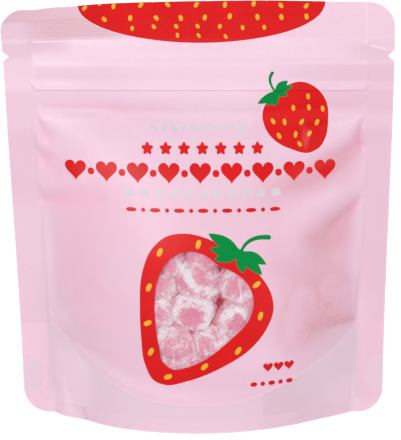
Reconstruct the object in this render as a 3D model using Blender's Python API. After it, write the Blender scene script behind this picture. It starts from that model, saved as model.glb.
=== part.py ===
"""A shut stand-up pouch of soft candies, standing on its opened gusset.

Front and back are one flat film pattern, u across and v up, bulged apart below the zip.
The front has a clear berry-shaped window, and the candies behind it lie in a pocket.
Metres, +Z up. The front faces -Y, and the base stands on z = 0, centred on the origin.
"""

import math
import random

import bmesh
import bpy
from mathutils import Euler, Vector
from mathutils.geometry import delaunay_2d_cdt

# Film pattern, as it lies flat
FILM_WIDTH = 0.160
FILM_HEIGHT = 0.1755
CORNER_RADIUS = 0.011
SIDE_SEAL = 0.012
SEAL_THICKNESS = 0.0008
NOTCH_HEIGHT = 0.1525
NOTCH_MOUTH = 0.0045
NOTCH_DEPTH = 0.0026

# Zip: a flat flange across the pouch with one raised rib
ZIP_LOW = 0.1308
ZIP_HIGH = 0.1488
RIB_LOW = 0.1385
RIB_HIGH = 0.1418
FLANGE_RISE = 0.0003
RIB_RISE = 0.0009
STEP = 0.0004  # width of each small step in the relief

# Filled shape
BASE_NARROWING = 0.055  # the full pouch is this much narrower at the base
NARROWING_HEIGHT = 0.175
LEAN = 0.0023  # the base stands this far to the right of the top
FOOT_HALF_WIDTH = 0.066  # the base opens between these points of the bottom edge
FOOT_POWER_LEFT = 2.4
FOOT_POWER_RIGHT = 1.85
BELLY_BLEND = 0.034  # height over which the foot's outline becomes the belly's
# Half depth on the middle line, by height
MIDDLE_DEPTH = (
    (0.0, 0.0280),
    (0.014, 0.0285),
    (0.040, 0.0280),
    (0.070, 0.0245),
    (0.100, 0.0155),
    (0.118, 0.0070),
    (0.129, 0.0012),
    (FILM_HEIGHT, 0.0),
)
# The top left corner curls forward, and the top edge droops towards both ends
CURL_START = 0.140
CURL_FORWARD = 0.009
CURL_WIDTH = 0.028
LEFT_DROP = 0.0033
LEFT_DROP_WIDTH = 0.040
RIGHT_DROP = 0.0009
RIGHT_DROP_START = 0.020

# Underside: a skirt of sealed film round a gusset that sags to the ground
SKIRT_THICKNESS = 0.0009
SKIRT_LOW = 0.0122
SKIRT_HIGH = 0.039
SKIRT_RISE_LEFT = 0.031
SKIRT_RISE_RIGHT = 0.027
SKIRT_POWER_LEFT = 2.75
SKIRT_POWER_RIGHT = 2.15
GUSSET_END = 0.062
GUSSET_SAG = 0.008
GUSSET_RISE = 0.042
GUSSET_FLAT = 0.012

# Window and what lies behind it. The window's edge is a smooth loop through these points
WINDOW_POINTS = (
    (-0.0202, 0.0540),
    (-0.0191, 0.0627),
    (-0.0153, 0.0706),
    (-0.0097, 0.0751),
    (-0.0044, 0.0762),
    (0.0010, 0.0749),
    (0.0080, 0.0702),
    (0.0130, 0.0680),
    (0.0194, 0.0627),
    (0.0220, 0.0552),
    (0.0202, 0.0486),
    (0.0113, 0.0395),
    (-0.0010, 0.0308),
    (-0.0077, 0.0282),
    (-0.0126, 0.0275),
    (-0.0167, 0.0299),
    (-0.0189, 0.0377),
    (-0.0199, 0.0460),
)
WINDOW_MIDDLE = 0.052
WINDOW_FILM = 0.0005
POCKET_BACK = -0.008
GAP = 0.00035
CANDY_CLEARANCE = 0.0013  # from the outside of the window to the nearest candy
CORE_DEPTH = 0.011  # the heap's core lies this far behind the window
CANDY_FLATNESS = 0.72
# The candies that show: u, v and half width
CANDIES = (
    (-0.0037, 0.0504, 0.0092),
    (-0.0024, 0.0670, 0.0098),
    (0.0143, 0.0604, 0.0088),
    (0.0135, 0.0470, 0.0084),
    (-0.0140, 0.0705, 0.0078),
    (-0.0165, 0.0600, 0.0078),
    (-0.0165, 0.0490, 0.0082),
    (-0.0120, 0.0360, 0.0094),
    (0.0035, 0.0360, 0.0084),
)

# Rows and columns of the film's mesh
COLUMNS = [0.006 * i for i in range(-10, 11)] + [-0.074, -0.068, -0.064, 0.064, 0.068, 0.074]
BELLY_ROWS = [0.0065 * i for i in range(1, 20)]
CORNER_STEPS = 6
LOOP_STEPS = 3
SPREAD = 0.5  # per metre: widens the flat pattern upwards, so that all diagonals lean outwards


def smooth_step(start, end, x):
    t = min(max((x - start) / (end - start), 0.0), 1.0)
    return t * t * (3 - 2 * t)


def along(stations, x):
    """A smooth curve through (place, value) stations, without overshoot."""
    places = [p for p, _ in stations]
    values = [v for _, v in stations]
    steps = [b - a for a, b in zip(places, places[1:])]
    slopes = [(b - a) / h for a, b, h in zip(values, values[1:], steps)]
    tangents = [slopes[0]]
    for before, after in zip(slopes, slopes[1:]):
        same_way = before * after > 0
        tangents.append(2 * before * after / (before + after) if same_way else 0.0)
    tangents.append(slopes[-1])
    x = min(max(x, places[0]), places[-1])
    i = max(k for k, p in enumerate(places[:-1]) if p <= x)
    t = (x - places[i]) / steps[i]
    return (
        (1 + 2 * t) * (1 - t) ** 2 * values[i]
        + t * (1 - t) ** 2 * steps[i] * tangents[i]
        + t * t * (3 - 2 * t) * values[i + 1]
        + t * t * (t - 1) * steps[i] * tangents[i + 1]
    )


def bulge(u, v):
    """How far the panel stands off the pouch's middle plane."""
    inner = FILM_WIDTH / 2 - SIDE_SEAL
    belly = 1 - min(abs(u) / inner, 1.0) ** 2.2
    foot_power = FOOT_POWER_LEFT if u < 0 else FOOT_POWER_RIGHT
    foot = 1 - min(abs(u) / FOOT_HALF_WIDTH, 1.0) ** foot_power
    blend = smooth_step(0, BELLY_BLEND, v)
    return along(MIDDLE_DEPTH, v) * (foot * (1 - blend) + belly * blend)


def zip_relief(u, v):
    """The flange and its rib, which end at the side seals."""

    def band(low, high):
        return smooth_step(low - STEP, low, v) * (1 - smooth_step(high, high + STEP, v))

    inner = FILM_WIDTH / 2 - SIDE_SEAL
    across = 1 - smooth_step(inner - 0.001, inner + 0.001, abs(u))
    rise = FLANGE_RISE * band(ZIP_LOW, ZIP_HIGH)
    rise += (RIB_RISE - FLANGE_RISE) * band(RIB_LOW, RIB_HIGH)
    return rise * across


def film_point(u, v, side, inset=0.0):
    """The place of pattern point (u, v) on the front (side -1) or back (+1) face."""
    narrowing = 1 - BASE_NARROWING * (1 - smooth_step(0.0, NARROWING_HEIGHT, v))
    x = u * narrowing + LEAN * (1 - v / FILM_HEIGHT)
    y = side * (SEAL_THICKNESS / 2 + bulge(u, v) + zip_relief(u, v) - inset)
    curl = math.exp(-(u + 0.075) / CURL_WIDTH)
    up = max((v - CURL_START) / (FILM_HEIGHT - CURL_START), 0.0)
    y -= CURL_FORWARD * curl * up**1.6
    drop = LEFT_DROP * math.exp(-(u + 0.075) / LEFT_DROP_WIDTH)
    drop += RIGHT_DROP * smooth_step(RIGHT_DROP_START, 0.075, u)
    z = v - drop * up**3
    return Vector((x, y, z))


def smooth_loop(points, steps):
    """A closed curve through the points, with tangents weighted by the lengths between them."""

    def tangent(a, b, c):
        first, second = (b - a).length, (c - b).length
        return ((b - a) / first * second + (c - b) / second * first) / (first + second)

    points = [Vector(p) for p in points]
    count = len(points)
    curve = []
    for i, here in enumerate(points):
        before, after, later = points[i - 1], points[(i + 1) % count], points[(i + 2) % count]
        gap = (after - here).length
        start, end = tangent(before, here, after) * gap, tangent(here, after, later) * gap
        for t in (k / steps for k in range(steps)):
            place = (2 * t**3 - 3 * t**2 + 1) * here + (t**3 - 2 * t**2 + t) * start
            curve.append(place + (3 * t**2 - 2 * t**3) * after + (t**3 - t**2) * end)
    return curve


def window_outline(shrink):
    """The window's edge, drawn in by shrink, anticlockwise."""
    curve = smooth_loop(WINDOW_POINTS, LOOP_STEPS)
    outline = []
    for i, here in enumerate(curve):
        way = (curve[(i + 1) % len(curve)] - curve[i - 1]).normalized()
        outline.append((here.x + way.y * shrink, here.y - way.x * shrink))
    return outline[::-1]


def mesh_rows():
    """Heights of the mesh's rows: even on the belly, close where the zip steps."""
    steps = [ZIP_LOW - STEP, ZIP_LOW, RIB_LOW - STEP, RIB_LOW]
    steps += [RIB_HIGH, RIB_HIGH + STEP, ZIP_HIGH, ZIP_HIGH + STEP]
    return BELLY_ROWS + [0.1275] + steps + [0.1345, 0.1453, 0.1545, 0.1600, 0.1660, 0.1715]


def film_outline(rows):
    """The film's edge, anticlockwise from the bottom left, with round corners and notches."""
    half = FILM_WIDTH / 2
    r = CORNER_RADIUS
    points = []

    def corner(u, v, start):
        for i in range(CORNER_STEPS + 1):
            a = start + math.pi / 2 * i / CORNER_STEPS
            points.append((u + r * math.cos(a), v + r * math.sin(a)))

    heights = [v for v in rows if r + 0.002 < v < FILM_HEIGHT - r - 0.002]
    heights = [v for v in heights if abs(v - NOTCH_HEIGHT) > NOTCH_MOUTH / 2 + 0.001]
    notch = [
        (half, NOTCH_HEIGHT - NOTCH_MOUTH / 2),
        (half - NOTCH_DEPTH, NOTCH_HEIGHT),
        (half, NOTCH_HEIGHT + NOTCH_MOUTH / 2),
    ]
    side = sorted([(half, v) for v in heights] + notch, key=lambda p: p[1])
    across = sorted(u for u in COLUMNS if abs(u) < half - r - 0.001)

    corner(-half + r, r, math.pi)
    points.extend((u, 0.0) for u in across)
    corner(half - r, r, -math.pi / 2)
    points.extend(side)
    corner(half - r, FILM_HEIGHT - r, 0.0)
    points.extend((u, FILM_HEIGHT) for u in reversed(across))
    corner(-half + r, FILM_HEIGHT - r, math.pi / 2)
    points.extend((-u, v) for u, v in reversed(side))
    return points


def inside(outline, point, margin):
    """Whether a point lies within a closed outline and at least margin from it."""
    u, v = point
    crossings = 0
    for (au, av), (bu, bv) in zip(outline, outline[1:] + outline[:1]):
        if (av > v) != (bv > v) and u < au + (v - av) * (bu - au) / (bv - av):
            crossings += 1
        length = (bu - au) ** 2 + (bv - av) ** 2
        t = min(max(((u - au) * (bu - au) + (v - av) * (bv - av)) / length, 0.0), 1.0)
        if math.hypot(u - au - t * (bu - au), v - av - t * (bv - av)) < margin:
            return False
    return crossings % 2 == 1


def closed_sheet(name, outline, fill, front, back):
    """One closed body between two faces that share a flat triangulation."""
    flat = [Vector((u * (1 + SPREAD * v), v)) for u, v in outline + fill]
    count = len(outline)
    edges = [(i, (i + 1) % count) for i in range(count)]
    spread, _, triangles, _, _, _ = delaunay_2d_cdt(flat, edges, [], 1, 1e-7)
    corners = [(p.x / (1 + SPREAD * p.y), p.y) for p in spread]
    shift = len(corners)
    points = [front(*p) for p in corners] + [back(*p) for p in corners]
    used = {(a, b) for t in triangles for a, b in zip(t, list(t[1:]) + [t[0]])}
    faces = [list(t) for t in triangles]
    faces += [[shift + i for i in reversed(t)] for t in triangles]
    for a, b in used:
        if (b, a) not in used:
            faces.append([b, a, shift + a, shift + b])
    return new_object(name, points, faces)


def loft(name, sections):
    """A closed body through sections that have the same number of points."""
    count = len(sections[0])
    points = [p for section in sections for p in section]
    faces = [list(range(count))]
    for k in range(len(sections) - 1):
        for i in range(count):
            j = (i + 1) % count
            a, b = k * count, (k + 1) * count
            faces.append([a + j, a + i, b + i, b + j])
    last = (len(sections) - 1) * count
    faces.append([last + i for i in reversed(range(count))])
    return new_object(name, points, faces)


def new_object(name, points, faces):
    mesh = bpy.data.meshes.new(name)
    mesh.from_pydata(points, [], faces)
    shape = bmesh.new()
    shape.from_mesh(mesh)
    bmesh.ops.recalc_face_normals(shape, faces=shape.faces)
    shape.to_mesh(mesh)
    shape.free()
    obj = bpy.data.objects.new(name, mesh)
    bpy.context.scene.collection.objects.link(obj)
    return obj


def apply_boolean(obj, other, operation):
    """Cuts or joins with one helper body, which is then removed."""
    modifier = obj.modifiers.new(operation.title(), "BOOLEAN")
    modifier.operation = operation
    modifier.object = other
    keep_evaluated(obj)
    bpy.data.objects.remove(other)


def keep_evaluated(obj):
    graph = bpy.context.evaluated_depsgraph_get()
    mesh = bpy.data.meshes.new_from_object(obj.evaluated_get(graph))
    obj.modifiers.clear()
    obj.data = mesh


def finish(obj, colour, roughness, smooth_angle=40, transmission=0.0):
    """Gives a sub-part its own material and smooth shading."""
    material = bpy.data.materials.new(obj.name)
    material.use_nodes = True
    shader = material.node_tree.nodes["Principled BSDF"]
    shader.inputs["Base Color"].default_value = (*colour, 1.0)
    shader.inputs["Roughness"].default_value = roughness
    shader.inputs["Metallic"].default_value = 0.0
    shader.inputs["Transmission Weight"].default_value = transmission
    obj.data.materials.clear()
    obj.data.materials.append(material)
    obj.data.shade_smooth()
    obj.data.set_sharp_from_angle(angle=math.radians(smooth_angle))


# ---- Film body


def make_pouch():
    rows = mesh_rows()
    outline = film_outline(rows)
    lattice = [(u, v) for v in rows for u in COLUMNS]
    fill = [p for p in lattice if inside(outline, p, 0.0012)]
    pouch = closed_sheet(
        "pouch",
        outline,
        fill,
        lambda u, v: film_point(u, v, -1),
        lambda u, v: film_point(u, v, 1),
    )
    apply_boolean(pouch, gusset_hollow(), "DIFFERENCE")
    apply_boolean(pouch, prism("pocket", window_outline(0.0), POCKET_BACK), "DIFFERENCE")
    finish(pouch, (0.86, 0.64, 0.74), 0.42)


def gusset_hollow():
    """The space under the pouch: between the skirts, and below the sagging gusset."""
    steps = 20
    places = [GUSSET_END * (2 * i / steps - 1) for i in range(steps + 1)]
    return loft("gusset_hollow", [hollow_section(u) for u in places])


def hollow_section(u):
    inner = FILM_WIDTH / 2 - SIDE_SEAL
    rise, power = SKIRT_RISE_RIGHT, SKIRT_POWER_RIGHT
    if u < 0:
        rise, power = SKIRT_RISE_LEFT, SKIRT_POWER_LEFT
    skirt = min(SKIRT_LOW + rise * (abs(u) / inner) ** power, SKIRT_HIGH)
    middle = GUSSET_RISE * smooth_step(GUSSET_FLAT, FOOT_HALF_WIDTH, abs(u)) - GUSSET_SAG

    def wall(v):
        return film_point(u, v, 1, SKIRT_THICKNESS)

    up = [wall(skirt * i / 4) for i in range(5)]
    top = up[-1]
    below = Vector((up[0].x, up[0].y, -GUSSET_SAG - 0.004))
    roof = []
    for i in range(1, 5):
        share = 1 - i / 4
        z = middle + (skirt - middle) * share**2
        roof.append(Vector((top.x, top.y * share, z)))
    half = [below, *up, *roof]
    other = [Vector((p.x, -p.y, p.z)) for p in reversed(half[:-1])]
    return half + other


def prism(name, outline, back):
    """A straight block behind a pattern outline, from well before the film to y = back."""
    front = [film_point(u, v, -1) for u, v in outline]
    before = [Vector((p.x, -0.045, p.z)) for p in front]
    behind = [Vector((p.x, back, p.z)) for p in front]
    return loft(name, [before, behind])


# ---- Clear window


def make_window():
    outline = window_outline(GAP)
    spacing = 0.0055
    places = [spacing * i for i in range(-16, 17)]
    lattice = [(u, v + WINDOW_MIDDLE) for u in places for v in places]
    fill = [p for p in lattice if inside(outline, p, 0.0015)]
    window = closed_sheet(
        "window",
        outline,
        fill,
        lambda u, v: film_point(u, v, -1),
        lambda u, v: film_point(u, v, -1, WINDOW_FILM),
    )
    finish(window, (0.95, 0.93, 0.95), 0.12, transmission=0.9)


# ---- Candies


def candy(index, u, v, half_width):
    """A soft, slightly flat ball with a dimple and uneven sides."""
    draw = random.Random(40 + index)
    shape = bmesh.new()
    bmesh.ops.create_icosphere(shape, subdivisions=3, radius=1.0)
    bumps = [(Vector([draw.uniform(-1, 1) for _ in range(3)]), draw.uniform(0, 6)) for _ in range(4)]
    turn = Euler([draw.uniform(-0.35, 0.35) for _ in range(3)]).to_matrix()
    for vertex in shape.verts:
        p = vertex.co.copy()
        size = 1 + 0.035 * sum(math.cos(3 * p.dot(way) + phase) for way, phase in bumps)
        # Squarer than a ball, with a shallow dimple in the side that faces out
        size *= 1 + 0.08 * (1 - max(abs(c) for c in p))
        dimple = 0.16 * math.exp(-((p.x**2 + p.z**2) / 0.16)) if p.y < 0 else 0.0
        p *= size * half_width
        p.y *= CANDY_FLATNESS * (1 - dimple)
        vertex.co = turn @ p
    front = film_point(u, v, -1)
    nearest = min(vertex.co.y for vertex in shape.verts)
    place = Vector((front.x, front.y + CANDY_CLEARANCE - nearest, front.z))
    bmesh.ops.translate(shape, verts=shape.verts, vec=place)
    mesh = bpy.data.meshes.new(f"candy_{index}")
    shape.to_mesh(mesh)
    shape.free()
    return bpy.data.objects.new(mesh.name, mesh)


def make_gummies():
    """The heap that shows in the window: a core with the nearest candies joined on."""
    core_outline = [film_point(u, v, -1) for u, v in window_outline(2 * GAP)]
    near = [Vector((p.x, p.y + CORE_DEPTH, p.z)) for p in core_outline]
    behind = [Vector((p.x, POCKET_BACK - GAP, p.z)) for p in core_outline]
    gummies = loft("gummies", [near, behind])

    heap = bpy.data.collections.new("heap")
    for index, (u, v, half_width) in enumerate(CANDIES):
        heap.objects.link(candy(index, u, v, half_width))
    bpy.context.scene.collection.children.link(heap)
    union = gummies.modifiers.new("Union", "BOOLEAN")
    union.operation = "UNION"
    union.operand_type = "COLLECTION"
    union.collection = heap
    keep_evaluated(gummies)
    for obj in list(heap.objects):
        bpy.data.objects.remove(obj)
    bpy.data.collections.remove(heap)

    within = prism("within_pocket", window_outline(GAP), POCKET_BACK - GAP)
    apply_boolean(gummies, within, "INTERSECT")
    finish(gummies, (0.84, 0.58, 0.68), 0.75, smooth_angle=60)


def main():
    for obj in list(bpy.data.objects):
        bpy.data.objects.remove(obj)
    make_pouch()
    make_window()
    make_gummies()


main()
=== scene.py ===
import math
import random

import bmesh
import bpy
import numpy as np
from mathutils import Matrix, Vector
from mathutils.geometry import delaunay_2d_cdt


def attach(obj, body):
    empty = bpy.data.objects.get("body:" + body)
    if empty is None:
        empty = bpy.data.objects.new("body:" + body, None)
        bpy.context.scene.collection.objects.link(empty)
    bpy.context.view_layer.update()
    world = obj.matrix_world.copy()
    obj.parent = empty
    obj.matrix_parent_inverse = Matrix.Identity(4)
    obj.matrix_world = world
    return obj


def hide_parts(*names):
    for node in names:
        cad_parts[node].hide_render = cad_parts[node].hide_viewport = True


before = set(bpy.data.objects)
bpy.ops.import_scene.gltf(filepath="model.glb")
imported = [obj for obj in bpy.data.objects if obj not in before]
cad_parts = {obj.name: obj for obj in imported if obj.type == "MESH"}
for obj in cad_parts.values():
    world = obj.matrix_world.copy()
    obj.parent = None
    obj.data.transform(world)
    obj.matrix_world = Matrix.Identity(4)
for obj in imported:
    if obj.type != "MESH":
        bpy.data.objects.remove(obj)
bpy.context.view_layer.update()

scene = bpy.context.scene
scene.view_settings.view_transform = "Standard"


# The camera comes first: long lens, a little above the pouch

camera = {"distance": 1.0, "elevation": 14.3, "lens": 197.6, "aim": (0.0010, 0.0, 0.0834)}


def makeCamera():
    data = bpy.data.cameras.new("camera")
    data.lens = camera["lens"]
    data.sensor_width = 36
    obj = bpy.data.objects.new("camera", data)
    scene.collection.objects.link(obj)
    tilt = math.radians(camera["elevation"])
    back = Vector((0, -math.cos(tilt), math.sin(tilt)))
    obj.location = Vector(camera["aim"]) + back * camera["distance"]
    obj.rotation_euler = (math.pi / 2 - tilt, 0, 0)
    data.clip_start, data.clip_end = 0.01, 50
    scene.camera = obj


makeCamera()


# The film's shape. Everything on the film is measured on its flat pattern in
# millimetres, u across and v up, and filmPoint() puts it in space.

film = {
    "width": 160.0,
    "height": 175.5,
    "cornerRadius": 11.0,
    "sideSeal": 12.0,
    "halfSeal": 0.4,
    "sealShifts": {"leftFoot": 1.25, "rightFoot": 1.7, "rightSkirt": 1.3, "rightLow": -0.4, "rightHigh": 0.7},
    "notchHeight": 152.5,
    "notchMouth": 4.5,
    "notchDepth": 2.6,
    "baseNarrowing": 0.055,
    "narrowingHeight": 175.0,
    "lean": 2.3,
    "footHalfWidth": 66.0,
    "footPowers": (2.4, 1.85),  # left, right
    "footWaves": ((-62.0, 4.0, 1.4), (-52.0, 6.0, -1.3), (50.0, 9.0, -1.0)),  # place, width and depth
    "waveHeight": 22.0,
    "bellyBlend": 34.0,
    "bellyPower": 2.2,
    "middleDepth": (
        (0, 28.0), (14, 28.5), (40, 28.0), (70, 24.5), (100, 15.5), (118, 7.0), (129, 1.2), (175.5, 0),
    ),
    "backFolds": 0.8,  # how strong the back's creases are
    "curlStart": 140.0,
    "curlPlace": -75.0,
    "curlForward": 9.0,
    "curlWidth": 28.0,
    "curlDrop": 3.3,
    "dropWidth": 40.0,
    "rightDrop": 0.9,
    "dips": ((-66.0, 5.0, 0.5), (-74.0, 4.0, -0.6), (-52.0, 9.0, 0.35)),  # place, width and depth
    "grain": 1.0,  # spacing of the mesh
    "printGrain": 0.9,
}

zipBand = {"low": 130.8, "high": 148.8, "ribLow": 138.5, "ribHigh": 141.8, "flange": 0.3, "rib": 0.9,
           "ribSlope": 0.75, "valley": 0.15, "sideValley": 0.95, "groove": 0.25}

sealBand = {"low": 159.6, "high": 169.1, "sunk": 0.12, "slack": 0.55}

base = {
    "skirtThickness": 0.9,
    "skirtLow": 12.2,
    "skirtHigh": 39.0,
    "skirtRises": (31.0, 27.0),  # left, right
    "skirtPowers": (2.75, 2.15),
    "gussetEnd": 62.0,
    "gussetSag": 8.0,
    "gussetRise": 42.0,
    "gussetFlat": 12.0,
    "hem": 5.9,
}

# The window and the red ring round it: points on closed smooth curves, with a dent under the leaves
windowPoints = (
    (-20.2, 54.0), (-19.1, 62.7), (-15.3, 70.6), (-9.7, 75.1), (-4.4, 76.2), (1.0, 74.9), (8.0, 70.2),
    (13.0, 68.0), (19.4, 62.7), (22.0, 55.2), (20.2, 48.6), (11.3, 39.5), (-1.0, 30.8), (-7.7, 28.2),
    (-12.6, 27.5), (-16.7, 29.9), (-18.9, 37.7), (-19.9, 46.0),
)
ringPoints = (
    (-26.5, 52.0), (-25.0, 67.4), (-21.2, 76.2), (-14.7, 81.8), (-6.6, 83.2), (1.0, 81.8),
    (14.0, 75.0), (25.3, 65.2), (29.8, 57.2), (30.5, 51.4), (28.1, 44.7), (21.9, 36.9), (8.8, 28.7),
    (-8.3, 22.2), (-15.5, 20.7), (-21.2, 22.4), (-24.9, 29.0), (-26.3, 40.8),
)

inner = film["width"] / 2 - film["sideSeal"]


def ease(start, end, x):
    t = np.clip((x - start) / (end - start), 0, 1)
    return t * t * (3 - 2 * t)


def sealShift(right, low, high, down):
    # how much further out than usual a side seal starts. right, low and high are 0 or 1: the side,
    # beside the skirt, high up. down grows from 0 to 1 down the skirt
    shift = film["sealShifts"]
    leftLow = down * shift["leftFoot"]
    rightLow = down * (shift["rightFoot"] - shift["rightSkirt"]) + shift["rightSkirt"]
    rightHigh = high * (shift["rightHigh"] - shift["rightLow"]) + shift["rightLow"]
    return low * ((1 - right) * leftLow + right * rightLow) + (1 - low) * right * rightHigh


def sealLine(u, v):
    # how far from the middle the side seal starts
    right = (np.asarray(u) > 0) * 1.0
    top = base["skirtHigh"]
    return inner + sealShift(right, 1 - ease(top - 0.4, top + 0.4, v), ease(45, 70, v), 1 - v / top)


# Creases: points on the pattern, then width and height at the start and at the end
frontCreases = (
    # left, from the zip corner down
    ((-68.2, 128.0, -66.7, 124.5, -65.0, 120.5, -62.6, 116.0), (1.3, -1.1), (3.2, -0.9)),
    ((-66.0, 129.4, -58.7, 124.5, -50.0, 118.0), (1.8, 1.1), (7.0, 0.5)),
    ((-68.4, 112.2, -63.0, 107.4, -57.0, 103.6), (2.0, -1.3), (6.0, -0.6)),
    ((-67.9, 118.5, -64.5, 115.5, -56.0, 111.0), (1.6, 0.6), (5.0, 0.3)),
    ((-68.2, 92.2, -60.0, 92.2, -53.0, 94.2, -46.5, 95.8, -39.0, 93.8), (1.6, -1.1), (6.0, -0.6)),
    ((-67.5, 98.0, -58.0, 99.5, -46.0, 103.5), (2.4, 1.0), (5.0, 0.4)),
    # right, from the zip corner down
    ((68.8, 127.4, 67.8, 122.5, 66.6, 117.6), (1.4, -0.9), (3.0, -0.9)),
    ((68.6, 129.4, 64.8, 127.0, 58.0, 122.5), (1.2, 0.9), (5.5, 0.5)),
    ((67.5, 116.0, 58.3, 110.8, 51.6, 107.8, 44.9, 104.6, 37.3, 102.2, 30.5, 100.2),
     (3.0, -1.3), (5.5, -0.6)),
    ((67.0, 98.5, 58.0, 95.0, 46.0, 87.5), (3.0, 0.7), (7.0, 0.8)),
    ((68.4, 92.8, 65.4, 90.6, 62.8, 88.4, 59.4, 85.2, 56.0, 82.2, 50.6, 77.6), (1.7, -0.8), (5.0, -0.9)),
    # above the seal of the base
    ((-65.6, 45.4, -63.6, 41.2), (0.8, -0.5), (0.8, -0.4)),
    ((-62.0, 38.4, -55.0, 33.0, -47.0, 31.2, -40.0, 30.4), (0.9, -0.4), (1.5, -0.2)),
    ((67.2, 40.6, 60.2, 40.8, 53.0, 38.6), (1.1, -0.9), (2.2, -0.5)),
    # under the seal of the base
    ((-60.6, 14.0, -59.3, 9.9, -57.8, 3.0), (1.2, -0.5), (1.6, -0.6)),
    ((-64.5, 14.5, -61.2, 13.9), (1.4, 0.5), (1.4, 0.4)),
    # crescent under the zip
    ((-42.0, 129.4, -36.5, 128.9, -33.0, 126.5, -30.5, 123.0), (0.8, -0.3), (1.6, -0.1)),
)

# Broad dents and swells: u, v, half width, half height, depth
frontSwells = (
    (53.0, 71.0, 9.0, 14.0, -1.5),
    (66.0, 72.0, 3.5, 18.0, 0.9),
    (-59.0, 78.0, 8.0, 14.0, -0.7),
    (60.0, 50.0, 9.0, 10.0, 0.6),
    (-55.0, 52.0, 9.0, 12.0, 0.8),
    (-30.0, 112.0, 22.0, 8.0, 0.5),
    (46.0, 52.0, 9.0, 9.0, 0.4),
    (40.0, 38.0, 8.0, 7.0, 0.6),
    (-44.0, 62.0, 7.0, 8.0, 0.45),
    (-46.0, 42.0, 8.0, 7.0, 0.5),
)

# Where the filled film swells out sharply below a line: its points, then height, edge width and reach
frontPuffs = (
    ((-70.0, 129.6, -56.0, 129.8, -44.0, 129.4, -37.0, 128.0, -33.5, 124.5), 1.4, 3.2, 22.0),
    ((-28.0, 128.2, -18.0, 128.0, -10.0, 126.0, -5.0, 124.4), 0.45, 2.4, 12.0),
    ((44.0, 125.6, 56.0, 128.0, 72.0, 129.8), 1.3, 3.0, 18.0),
)

# Where the film clings to the gummies and looks pinker, and painted shade in its folds and valleys;
# negative strengths paint highlights: u, v, half width, half height, turn, strength
pinkAndShadePatches = (
    (58.5, 79.0, 8.0, 8.0, 30, 0.65), (51.0, 68.0, 12.0, 12.0, 0, 0.66), (53.0, 51.0, 12.0, 9.0, 0, 0.52),
    (47.0, 40.0, 12.0, 6.0, 22, 0.62), (61.0, 43.5, 5.0, 3.0, 0, 0.5), (56.0, 108.0, 12.0, 5.5, 26, 0.75),
    (39.0, 102.0, 9.0, 4.8, 18, 0.65), (35.5, 56.0, 5.0, 17.0, -10, 0.42), (31.0, 72.0, 6.0, 9.0, 0, 0.34),
    (46.0, 80.0, 5.0, 5.0, 30, 0.35), (60.0, 59.0, 4.0, 3.0, 0, 0.35), (44.0, 44.0, 5.0, 8.0, 0, 0.2),
    (56.0, 101.5, 10.0, 4.0, 25, 0.30), (29.0, 101.0, 7.0, 7.0, 0, 0.3), (-33.0, 129.5, 8.0, 3.0, -10, 0.35),
    (24.5, 128.0, 3.0, 10.0, 0, 0.25), (5.0, 90.0, 40.0, 8.0, 0, 0.12), (-20.0, 131.5, 14.0, 3.0, 0, 0.3),
    (-50.0, 94.6, 11.0, 4.0, 6, 0.25), (-37.0, 92.0, 9.0, 6.0, 0, 0.28), (18.0, 132.0, 14.0, 3.0, 0, 0.15),
    (-51.0, 74.0, 8.0, 13.0, 0, 0.5), (-48.0, 52.0, 11.0, 12.0, 0, 0.42), (-46.0, 33.5, 12.0, 3.6, -20, 0.2),
    (62.8, 88.0, 5.5, 2.4, 40, 0.6), (57.0, 83.0, 6.5, 3.5, 40, 0.3), (63.0, 113.0, 5.0, 2.2, 25, 0.35),
    (-56.0, 131.3, 10.0, 1.2, 0, 0.4), (65.6, 122.0, 1.9, 4.5, -10, 0.5), (62.0, 100.0, 5.5, 3.0, 25, 0.3),
    (-46.0, 132.6, 14.0, 2.6, 0, 0.3), (60.0, 132.4, 10.0, 2.6, 0, 0.3), (-36.0, 82.0, 12.0, 6.0, 0, 0.18),
    # painted highlights
    (-66.2, 66.0, 3.2, 28.0, 0, -0.6), (26.0, 31.5, 10.0, 6.0, 20, -0.3), (-62.0, 128.0, 11.0, 3.2, -8, -0.7),
    (63.5, 127.0, 5.0, 3.0, -20, -0.5), (67.8, 70.0, 2.8, 24.0, 0, -0.9), (-58.0, 150.0, 15.0, 1.8, 0, -0.9),
    (-60.0, 141.0, 9.0, 2.0, 0, -0.5), (-60.0, 43.0, 6.0, 8.0, 0, -0.35), (54.0, 96.5, 12.0, 2.6, 28, -0.3),
)


def along(stations, x):
    places = np.array([p for p, _ in stations], float)
    values = np.array([d for _, d in stations], float)
    steps = np.diff(places)
    slopes = np.diff(values) / steps
    tangents = [slopes[0]]
    for before, after in zip(slopes, slopes[1:]):
        tangents.append(2 * before * after / (before + after) if before * after > 0 else 0.0)
    tangents = np.array(tangents + [slopes[-1]])
    x = np.clip(x, places[0], places[-1])
    i = np.clip(np.searchsorted(places, x, side="right") - 1, 0, len(steps) - 1)
    t = (x - places[i]) / steps[i]
    return (
        (1 + 2 * t) * (1 - t) ** 2 * values[i]
        + t * (1 - t) ** 2 * steps[i] * tangents[i]
        + t * t * (3 - 2 * t) * values[i + 1]
        + t * t * (t - 1) * steps[i] * tangents[i + 1]
    )


def waves(u, rows):
    return sum(depth * np.exp(-(((u - place) / width) ** 2)) for place, width, depth in rows)


def bulge(u, v):
    belly = 1 - np.minimum(abs(u) / inner, 1.0) ** film["bellyPower"]
    foot = 1 - np.minimum(abs(u) / film["footHalfWidth"], 1.0) ** np.where(u < 0, *film["footPowers"])
    blend = ease(0, film["bellyBlend"], v)
    wave = waves(u, film["footWaves"]) * (1 - ease(0, film["waveHeight"], v))
    return along(film["middleDepth"], v) * (foot * (1 - blend) + belly * blend) + wave


def skirtLine(u):
    rise, power = np.where(u < 0, *base["skirtRises"]), np.where(u < 0, *base["skirtPowers"])
    return np.minimum(base["skirtLow"] + rise * (abs(u) / inner) ** power, base["skirtHigh"])


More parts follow.
